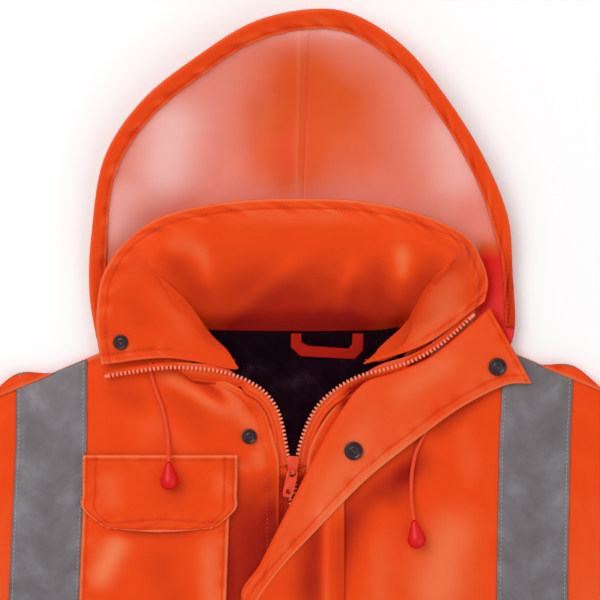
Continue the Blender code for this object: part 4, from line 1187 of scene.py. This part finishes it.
class JACKET_OT_collar(bpy.types.Operator):
    """Collar, turned out"""

    bl_idname = "jacket.collar"
    bl_label = "Collar"

    def execute(self, context):
        coarse = collar_net()
        rows = np.linspace(0, len(coarse) - 1, 220)
        columns = np.concatenate([np.linspace(0, 2, 26), np.linspace(2, 4, 60)[1:]])
        net = even(fine_net(coarse, rows, columns), 3)
        normals = even(-net_normals(net), 10)
        normals /= np.linalg.norm(normals, axis=2, keepdims=True)
        cloth = Cloth(net, normals)
        turned_out = ease((columns / 4 - 0.62) / 0.2)[None]
        # Painted shade inside the collar, kept off the turned-out part; then painted shade and highlights over the
        # whole collar, and painted highlights along its edges.
        cloth.paint(COLLAR_SHADE)
        cloth.tone = cloth.tone * (1.0 - ease((columns / 4 - 0.5) / 0.12)[None])
        cloth.fold(COLLAR_CREASES)
        cloth.paint(COLLAR_TONES)
        cloth.bind("last_column", light=0.55)
        cloth.seam("last_column", 6.0, 0.5, 1.6, 0.8, 3.0)
        plain, plain_tone = cloth.net.copy(), cloth.tone.copy()
        for edge, seed in (("first_row", 0.4), ("last_row", 1.9)):
            cloth.bind(edge, light=0.35)
            cloth.seam(edge, 6.0, 0.5, 1.6, 0.8, seed)
        cloth.net = plain + (cloth.net - plain) * turned_out[..., None]
        cloth.tone = plain_tone + (cloth.tone - plain_tone) * turned_out
        thick = 0.7 + (BAND - 0.7) * turned_out
        made = keep(wall("shown_collar", cloth, thick, "orange"), "orange", "collar")
        return {"FINISHED"}


# Ridges, painted shade and painted light inside the hood: x and y of both ends, width, height or amount
HOOD_CREASES = (
    (5, 218, 3, 100, 1.6, 1.5),
    (-20, 149, 45, 149, 2.0, 0.7),
    (-60, 180, -30, 130, 10, 0.8),
    (80, 170, 60, 120, 9, 0.9),
    (-100, 150, -90, 110, 8, 0.8),
    (120, 130, 100, 90, 8, 0.9),
    (-126, 80, -120, 40, 7, 0.8),
)
HOOD_TONES = (
    (4, 225, 3, 80, 32, -1.15),
    (-9, 150, -8, 90, 10, -0.3),
    (40, 200, 60, 95, 26, -0.7),
    (60, 110, 90, 90, 18, -0.2),
    (-80, 170, -96, 90, 20, 0.9),
    (-30, 180, -26, 100, 10, -0.35),
    (-116, 110, -128, 60, 14, 0.5),
    (-60, 214, 70, 214, 8, 0.75),
    (104, 160, 124, 90, 18, 0.6),
    (-108, 60, -60, 96, 9, -0.35),
    (4, 225, 3, 80, 1.2, 0.35),
)
SIDE_SHADE_X = 132.0  # outwards of here, low on the left, the hood's film is painted in deep red shade


class JACKET_OT_hood(bpy.types.Operator):
    """Hood halves and the turned rim"""

    bl_idname = "jacket.hood"
    bl_label = "Hood"

    def execute(self, context):
        for side, stations in (("right", HOOD_RIGHT), ("left", HOOD_LEFT)):
            net = hood_net(stations)
            net[..., 2] += SHELL
            x, y = net[..., 0], net[..., 1]
            net[..., 2] += np.maximum(ridges(x, y, HOOD_CREASES), 0) + 0.3 * (1 + waviness(x, y, 60, 2.0))
            cloth = Cloth(net, up_normals(net))
            # Painted shade down the hood's middle, painted light on its sides and along its top, and deep red painted
            # shade low on the left side.
            cloth.paint(HOOD_TONES)
            low_side_shade = ease((74 - y) / 30) * ease((x - SIDE_SHADE_X + 6) / 10)
            cloth.tone = cloth.tone - 2.4 * low_side_shade
            made = keep(wall("shown_hood_" + side, cloth, SHELL * 0.9, "coating"), "coating", "hood_" + side)
        net = rim_net()
        cloth = Cloth(net, up_normals(net))
        shade = ease((70 - net[..., 1]) / 40) * ease((net[..., 0] - 100) / 30)
        cloth.tone = cloth.tone - 0.6 * shade
        cloth.bind("last_column", "first_column", light=0.35)
        cloth.seam("last_column", 2.2, 0.5, 1.3, 0.9, 0.7)
        made = keep(wall("shown_hood_rim", cloth, RIM_THICK, "orange"), "orange", "hood_rim")
        return {"FINISHED"}


def rim_net():
    """Seen side of the hood's turned rim."""
    stations = HOOD_RIGHT[RIM_SKIP["right"] :] + HOOD_LEFT[1 : -RIM_SKIP["left"]]
    rim = np.array([s[0] for s in stations], float)
    neck = np.array([s[1] for s in stations], float)
    at = spaced(rim, 1.8)
    rim, neck = curve_at(rim, at), curve_at(neck, at)
    length = np.linalg.norm(rim[:, :2] - neck, axis=1)
    inward = (neck - rim[:, :2]) / length[:, None]
    foot = np.minimum(0.75, HOOD_FOOT / length)
    narrow = 1.0 - 0.5 * ease((84 - rim[:, 1]) / 40) * ease((rim[:, 0] - 100) / 30)
    across = np.linspace(-1.5, RIM_WIDTH, 14)[None] * narrow[:, None]
    plan = rim[:, None, :2] + inward[:, None] * across[..., None]
    slope = np.maximum(0.0, 1.0 - np.maximum(across, 0) / length[:, None] / foot[:, None]) ** 1.4
    z = np.maximum(slope * rim[:, 2:3], body_ledge(plan[..., 0], plan[..., 1]))
    roll = 1.1 * np.exp(-(((across + 1.5) / 1.6) ** 2))
    return np.concatenate([plan, (z + SHELL + 0.9 + RIM_THICK - roll)[..., None]], axis=2)


# Row of the storm flap where its turned-back part runs out, from the seam to the free edge
FLAP_TURN = (
    (36, -192, 9.4), (4, -191, 10), (-33, -189, 12.5), (-35.8, -191, 14.2), (-32, -193, 14), (-28.5, -195.5, 13.6),
)
# Creases, painted shade and painted highlights of the storm flap: x and y of both ends, width, height or amount
FLAP_CREASES = (
    (60, -76, 52, -104, 6, 0.8),
    (100, -40, 112, -56, 8, 0.6),
    (38, -88, 26, -120, 5, 0.5),
)
FLAP_SHADE = (
    (16, -104, 12, -215, 13, -0.85),
    (24, -112, 23, -225, 3, 0.6),
    (34, -112, 34, -215, 3.5, -0.3),
)
FLAP_TONES = (
    (60, -50, 6, -150, 9, 0.25),
    (120, -14, 66, -50, 8, 0.3),
    (90, -72, 20, -140, 9, 0.35),
    (-20, -168, -24, -330, 7, -0.1),
)


class JACKET_OT_storm_flap(bpy.types.Operator):
    """Storm flap, turned back at the top and closed over the zip below"""

    bl_idname = "jacket.storm_flap"
    bl_label = "Storm flap"

    def execute(self, context):
        coarse = []
        for seam, roll, edge in FLAP_ROWS:
            seam, roll, edge = (np.array(p, float) for p in (seam, roll, edge))
            outward = (edge[:2] - roll[:2]) / np.linalg.norm(edge[:2] - roll[:2])
            rise = np.array([*blend_points(seam[:2], roll[:2], 0.6), seam[2] + (roll[2] - seam[2]) * 0.12])
            turn = np.array([*roll[:2], seam[2] + (roll[2] - seam[2]) * 0.55])
            crown = np.array([*(roll[:2] + outward * FLAP_CROWN), roll[2]])
            coarse.append([seam, rise, turn, crown, (crown + edge) / 2, edge])
        coarse.append(np.array(FLAP_TURN, float))
        for y in FLAP_LEVELS:
            share = np.array((0.0, 0.3, 0.55, 0.75, 0.9, 1.0))
            x = FLAP_SEAM_X + (FLAP_EDGE_X - FLAP_SEAM_X) * share
            z = FLAP_BED + (FLAP_OVER_ZIP - FLAP_BED) * ease((FLAP_SEAM_X - x) / 22)
            coarse.append(np.stack([x, np.full(6, float(y)), z], axis=1))
        rows = np.concatenate([np.linspace(0, 11, 220), np.linspace(11, 19, 70)[1:]])
        net = fine_net(np.array(coarse), rows, np.linspace(0, 5, 80))
        normals = even(net_normals(net), 4)
        normals /= np.linalg.norm(normals, axis=2, keepdims=True)
        cloth = Cloth(net, -normals)
        cloth.fold(FLAP_CREASES)
        # Painted shade under the turned-back part, kept to the columns on the seam side; then painted highlights and
        # shade, and the turned-back part painted a little paler.
        cloth.paint(FLAP_SHADE)
        cloth.tone = cloth.tone * ease((0.46 - np.linspace(0, 1, 80)) / 0.1)[None]
        cloth.paint(FLAP_TONES)
        cloth.tone = cloth.tone + 0.12 * ease((np.linspace(0, 1, 80) - 0.5) * 8)[None]
        cloth.bind("last_column", light=0.6)
        cloth.seam("last_column", 6.5, 0.45, 1.4, 0.6, 0.4)
        cloth.seam("first_row", 2.4, 0.4, 1.2, 0.5, 1.4, sewn=False)
        made = keep(wall("shown_storm_flap", cloth, FLAP, "orange"), "orange", "storm_flap")
        return {"FINISHED"}


class JACKET_OT_zip(bpy.types.Operator):
    """Zip tapes, the two rows of teeth and their top stops"""

    bl_idname = "jacket.zip"
    bl_label = "Zip"

    def execute(self, context):
        tooth = small_shape("tooth")
        for side, route, start in (("right", ZIP_RIGHT, 0.0), ("left", ZIP_LEFT, TOOTH_PITCH / 2)):
            line = np.array(route, float)
            at = spaced(line[:, :3], 1.5)
            line = curve_at(line, at)
            way = np.gradient(line[:, :2], axis=0)
            way /= np.linalg.norm(way, axis=1, keepdims=True)
            left = np.stack([-way[:, 1], way[:, 0]], axis=1)
            turn = 1.0 if side == "right" else -1.0
            lean = line[:, 3:4] * turn
            out = np.abs(line[:, :1])
            under = ease((out - 26) / 16) * ease((86 - out) / 18) * ease((line[:, 1:2] + 60) / 20)
            to_front = np.maximum(np.maximum(lean, 0) * (TAPE_REACH + 1.3), 0.5 + 9.5 * under)
            to_collar = np.minimum(lean, 0) * TAPE_REACH + 0.4
            share = np.linspace(0, 1, 15)[None]
            offset = to_collar + (to_front - to_collar) * share
            plan = line[:, None, :2] + left[:, None] * (offset * turn)[..., None]
            z = line[:, 2:3] - 0.6 - under * 0.42 * np.maximum(offset - 1, 0)
            net = np.concatenate([plan, z[..., None]], axis=2)
            cloth = Cloth(net, up_normals(net))
            # Painted shadow where the tape lies under the storm flap, a dark line along its edge on the front side, and
            # painted shade where it runs under the collar's edge; the rest a little paler.
            shade = ease((-98 - net[..., 1]) / 6) * ease((net[..., 1] + 330) / 60)
            cloth.tone = 0.2 - 1.0 * shade - 0.8 * np.exp(-(((to_front - offset) / 1.1) ** 2))
            cloth.tone = cloth.tone - (0.9 if side == "left" else 0.25) * under * ease((offset - 2) / 3)
            cloth.seam("last_column", 3.2, 0.2, 0.8, 0.2, 0.8, sewn=False)
            made = keep(wall("shown_zip_tape_" + side, cloth, TAPE * 0.9, "orange"), "orange", "zip_tape_" + side)
            steps = np.linalg.norm(np.diff(line[:, :3], axis=0), axis=1)
            length = np.concatenate([[0], np.cumsum(steps)])
            where = np.arange(start + 1, length[-1] - 3, TOOTH_PITCH)
            spot = np.stack([np.interp(where, length, line[:, k]) for k in range(3)], axis=1)
            spot[:, 2] += TEETH_HIGH / 2
            ways = np.stack([np.interp(where, length, way[:, 0]), np.interp(where, length, way[:, 1]), 0 * where], 1)
            ups = np.broadcast_to((0.0, 0.0, 1.0), spot.shape)
            teeth = copies("shown_zip_teeth_" + side, tooth, spot, ways, ups, "teeth")
            keep(teeth, "zip", "zip_teeth_" + side)
            stop = copies(
                "shown_top_stop_" + side, tooth, line[-1:, :3] + (0, 0, TEETH_HIGH / 2) - (*way[-1] * 2.2, 0),
                np.array([[*way[-1], 0.0]]), ups[:1], "teeth", np.array([[2.4, 0.8, 0.8]])
            )
            keep(stop, "zip")
        refined("shown_zip_slider", "zip_slider", "enamel", 0.45, "zip")
        refined("shown_zip_pull", "zip_pull", "enamel", 0.28, "zip", body="pull_tab")
        return {"FINISHED"}


class JACKET_OT_lining(bpy.types.Operator):
    """Lining seen in the neck and the hanger loop"""

    bl_idname = "jacket.lining"
    bl_label = "Lining"

    def execute(self, context):
        ys = np.linspace(2.5, -118, 120)
        left = np.array(((-22, -118), (-32, -84), (-50, -56), (-72, -34), (-80, -10), (-80, 3)), float)
        right = np.array(((20, -118), (32, -88), (54, -62), (76, -36), (84, -10), (84, 3)), float)
        x0, x1 = np.interp(ys, left[:, 1], left[:, 0]), np.interp(ys, right[:, 1], right[:, 0])
        share = np.linspace(0, 1, 130)
        x = x0[:, None] + (x1 - x0)[:, None] * share[None]
        y = np.broadcast_to(ys[:, None], x.shape)
        rise = 0.5 * np.maximum(waviness(x, y, 26, 3.0), -0.4) + 0.25 * waviness(x, y, 9, 6.0)
        fade = ease(np.minimum(share, 1 - share) * 8)[None] * ease((-y + 1) / 12)
        net = np.stack([x, y, LINING_TOP + rise * fade], axis=2)
        cloth = Cloth(net, up_normals(net))
        # Painted shading that follows the ripples, paler on their crests and deeper in their hollows, with the whole
        # set a little deeper; then a painted highlight on a fold and painted shade along the top under the collar.
        cloth.tone = 0.9 * np.clip(rise, -1, 1) * fade - 0.2
        cloth.paint(((-40, -28, -28, -50, 5, 1.0), (-60, -14, 60, -6, 10, -0.4)))
        made = keep(wall("shown_lining", cloth, LINING, "lining"), "lining", "lining")
        refined("shown_hanger_loop", "hanger_loop", "loop", 0.45, "orange_dark", smooth=60)
        loop = bpy.data.objects["shown_hanger_loop"]
        corners = np.zeros(len(loop.data.loops), np.int32)
        loop.data.loops.foreach_get("vertex_index", corners)
        flat = np.array([v.co.xy for v in loop.data.vertices], np.float32) / MM
        layer = loop.data.uv_layers.get("cloth") or loop.data.uv_layers.new(name="cloth")
        layer.data.foreach_set("uv", flat[corners].ravel())
        tone = np.zeros(len(loop.data.vertices), np.float32)
        loop.data.attributes.new("tone", "FLOAT", "POINT").data.foreach_set("value", tone)
        return {"FINISHED"}


# Press stud, from its middle out: share of the radius, height
SNAP_PROFILE = (
    (0.0, 0.9), (0.1, 0.92), (0.16, 1.25), (0.3, 1.4), (0.42, 1.3), (0.5, 0.95), (0.62, 0.95), (0.7, 1.3),
    (0.8, 1.75), (0.88, 1.85), (0.95, 1.7), (1.0, 1.2), (0.99, 0.2), (0.92, 0.0), (0.0, 0.0),
)


def turned_part(name, profile, place, axis, radius, sides=40):
    """A round part: a half profile swept about an axis by a spin."""
    bpy.ops.object.select_all(action="DESELECT")
    mesh = bpy.data.meshes.new(name)
    points = [(share * radius * MM, 0.0, high * MM) for share, high in profile]
    mesh.from_pydata(points, [(k, k + 1) for k in range(len(points) - 1)], [])
    made = bpy.data.objects.new(name, mesh)
    bpy.context.scene.collection.objects.link(made)
    made.select_set(True)
    bpy.context.view_layer.objects.active = made
    bpy.ops.object.mode_set(mode="EDIT")
    bpy.ops.mesh.select_all(action="SELECT")
    bpy.ops.mesh.spin(steps=sides, angle=math.tau, center=(0, 0, 0), axis=(0, 0, 1))
    bpy.ops.mesh.select_all(action="SELECT")
    bpy.ops.mesh.remove_doubles(threshold=0.00002)
    bpy.ops.mesh.normals_make_consistent(inside=False)
    bpy.ops.object.mode_set(mode="OBJECT")
    made.rotation_euler = Vector(axis).to_track_quat("Z", "Y").to_euler()
    made.location = to_frame(place)
    bpy.ops.object.transform_apply(location=True, rotation=True, scale=True)
    bpy.ops.object.shade_smooth_by_angle(angle=math.radians(50))
    mesh.materials.append(finishes()["snap"])
    return made


class JACKET_OT_fasteners(bpy.types.Operator):
    """Press studs, sockets, caps and the rubber cord ends"""

    bl_idname = "jacket.fasteners"
    bl_label = "Fasteners"

    def execute(self, context):
        names = ["snap_cap_%d" % k for k in range(1, 6)]
        names += ["snap_socket_chest", "snap_socket_collar", "snap_stud_chest", "snap_stud_collar"]
        for name in names:
            points = np.array([v.co for v in frame["nodes"][name].data.vertices]) / MM + (CENTRE_X, CENTRE_Y, 0)
            middle = points.mean(axis=0)
            axis = np.linalg.svd(points - middle, full_matrices=False)[2][2]
            axis = axis * np.sign(axis[2])
            high = (points - middle) @ axis
            radius = np.linalg.norm(np.cross(points - middle, axis), axis=1).max()
            made = turned_part("shown_" + name, SNAP_PROFILE, middle + axis * high.min(), axis, radius)
            keep(made, "snap", name)
        for side in ("right", "left"):
            name = "cord_end_" + side
            made = refined("shown_" + name, name, "rubber", 0.8, "rubber", segments=4, smooth=80)
            bpy.ops.object.mode_set(mode="EDIT")
            bpy.ops.mesh.select_all(action="SELECT")
            bpy.ops.transform.shrink_fatten(value=0.7 * MM)
            bpy.ops.object.mode_set(mode="OBJECT")
        return {"FINISHED"}


CORD_RIGHT = (
    (-101.5, -21, 0), (-101, -29, 0), (-97.5, -41, 0), (-92.5, -55, 0), (-89.5, -70, 0.4), (-88.4, -82, 3),
    (-88, -91.6, 5.4),
)
CORD_LEFT = ((97, -64.5, 0), (92.5, -74, 0), (87, -87, 0), (84.3, -104, 0), (84.4, -122, 2.2), (86, -133.6, 5))
STRAND_PITCH = 6.0
STRANDS = 3


class JACKET_OT_drawcords(bpy.types.Operator):
    """Hood drawcords, twisted from three strands"""

    bl_idname = "jacket.drawcords"
    bl_label = "Drawcords"

    def execute(self, context):
        beds = {
            "right": ("shown_front_right", "shown_pocket", "shown_pocket_flap"),
            "left": ("shown_front_left",),
        }
        for side, route in (("right", CORD_RIGHT), ("left", CORD_LEFT)):
            trees = [BVHTree.FromObject(bpy.data.objects[n], context.evaluated_depsgraph_get()) for n in beds[side]]
            stations = curve_at(np.array(route, float), np.linspace(0, len(route) - 1, 26))
            line = []
            for x, y, lift in stations:
                best = 0.0
                for dx in (-CORD, 0, CORD):
                    for dy in (-CORD, 0, CORD):
                        above = Vector((*(to_frame((x + dx, y + dy, 90.0))),))
                        for tree in trees:
                            hit = tree.ray_cast(above, Vector((0, 0, -1)))[0]
                            best = max(best, hit.z / MM if hit else 0.0)
                line.append((x, y, best + CORD / 2 + GAP + lift))
            line = np.array(line)
            for _ in range(3):
                line[1:-1, 2] = (line[:-2, 2] + line[2:, 2] + 2 * line[1:-1, 2]) / 4
            at = spaced(line, 0.4)
            centre = curve_at(line, at)
            way = np.gradient(centre, axis=0)
            way /= np.linalg.norm(way, axis=1, keepdims=True)
            across = np.cross(way, (0.0, 0.0, 1.0))
            across /= np.linalg.norm(across, axis=1, keepdims=True)
            other = np.cross(across, way)
            run = np.arange(len(centre)) * 0.4
            angle = np.linspace(0, 2 * math.pi, 24, endpoint=False)
            twist = STRANDS * (angle[None] - run[:, None] * 2 * math.pi / STRAND_PITCH)
            radius = CORD / 2 * (0.8 + 0.2 * np.abs(np.cos(twist / 2)))
            ring = across[:, None] * np.cos(angle)[None, :, None] + other[:, None] * np.sin(angle)[None, :, None]
            points = (centre[:, None] + ring * radius[..., None]).reshape(-1, 3)
            count, rings = len(angle), len(centre)
            faces = []
            for row in range(rings - 1):
                for k in range(count):
                    a, b = row * count + k, row * count + (k + 1) % count
                    faces.append((a, a + count, b + count, b))
            faces.append(tuple(range(count)))
            faces.append(tuple(reversed(range((rings - 1) * count, rings * count))))
            made = keep(new_object("shown_drawcord_" + side, points, faces, "cord"), "orange", "drawcord_" + side)
        return {"FINISHED"}


class JACKET_OT_stitches(bpy.types.Operator):
    """Every stitch, as two joined meshes of small copies"""

    bl_idname = "jacket.stitches"
    bl_label = "Stitches"

    def execute(self, context):
        shape = small_shape("stitch")
        for colour, rows in STITCHES.items():
            if not rows:
                self.report({"ERROR"}, "no stitches were sewn in " + colour)
                return {"CANCELLED"}
            place, way, up = (np.concatenate([row[k] for row in rows]) for k in range(3))
            slot = "reflective" if colour == "pale_thread" else "orange"
            keep(copies("stitches_" + colour, shape, place, way, up, colour), slot)
        return {"FINISHED"}


class JACKET_PT_panel(bpy.types.Panel):
    """Lists the pieces"""

    bl_label = "Jacket"
    bl_space_type = "VIEW_3D"
    bl_region_type = "UI"
    bl_category = "Jacket"

    def draw(self, context):
        for operator in OPERATORS:
            self.layout.operator(operator.bl_idname)


OPERATORS = (
    JACKET_OT_stage,
    JACKET_OT_back,
    JACKET_OT_zip,
    JACKET_OT_fronts,
    JACKET_OT_pocket,
    JACKET_OT_sleeves,
    JACKET_OT_collar,
    JACKET_OT_hood,
    JACKET_OT_storm_flap,
    JACKET_OT_lining,
    JACKET_OT_fasteners,
    JACKET_OT_drawcords,
    JACKET_OT_stitches,
)


def register():
    for kind in (JacketSettings, *OPERATORS, JACKET_PT_panel):
        bpy.utils.register_class(kind)
    bpy.types.Scene.jacket = bpy.props.PointerProperty(type=JacketSettings)


def unregister():
    del bpy.types.Scene.jacket
    for kind in reversed((JacketSettings, *OPERATORS, JACKET_PT_panel)):
        bpy.utils.unregister_class(kind)


def main():
    register()
    for operator in OPERATORS:
        group, name = operator.bl_idname.split(".")
        getattr(getattr(bpy.ops, group), name)()


if __name__ == "__main__":
    main()
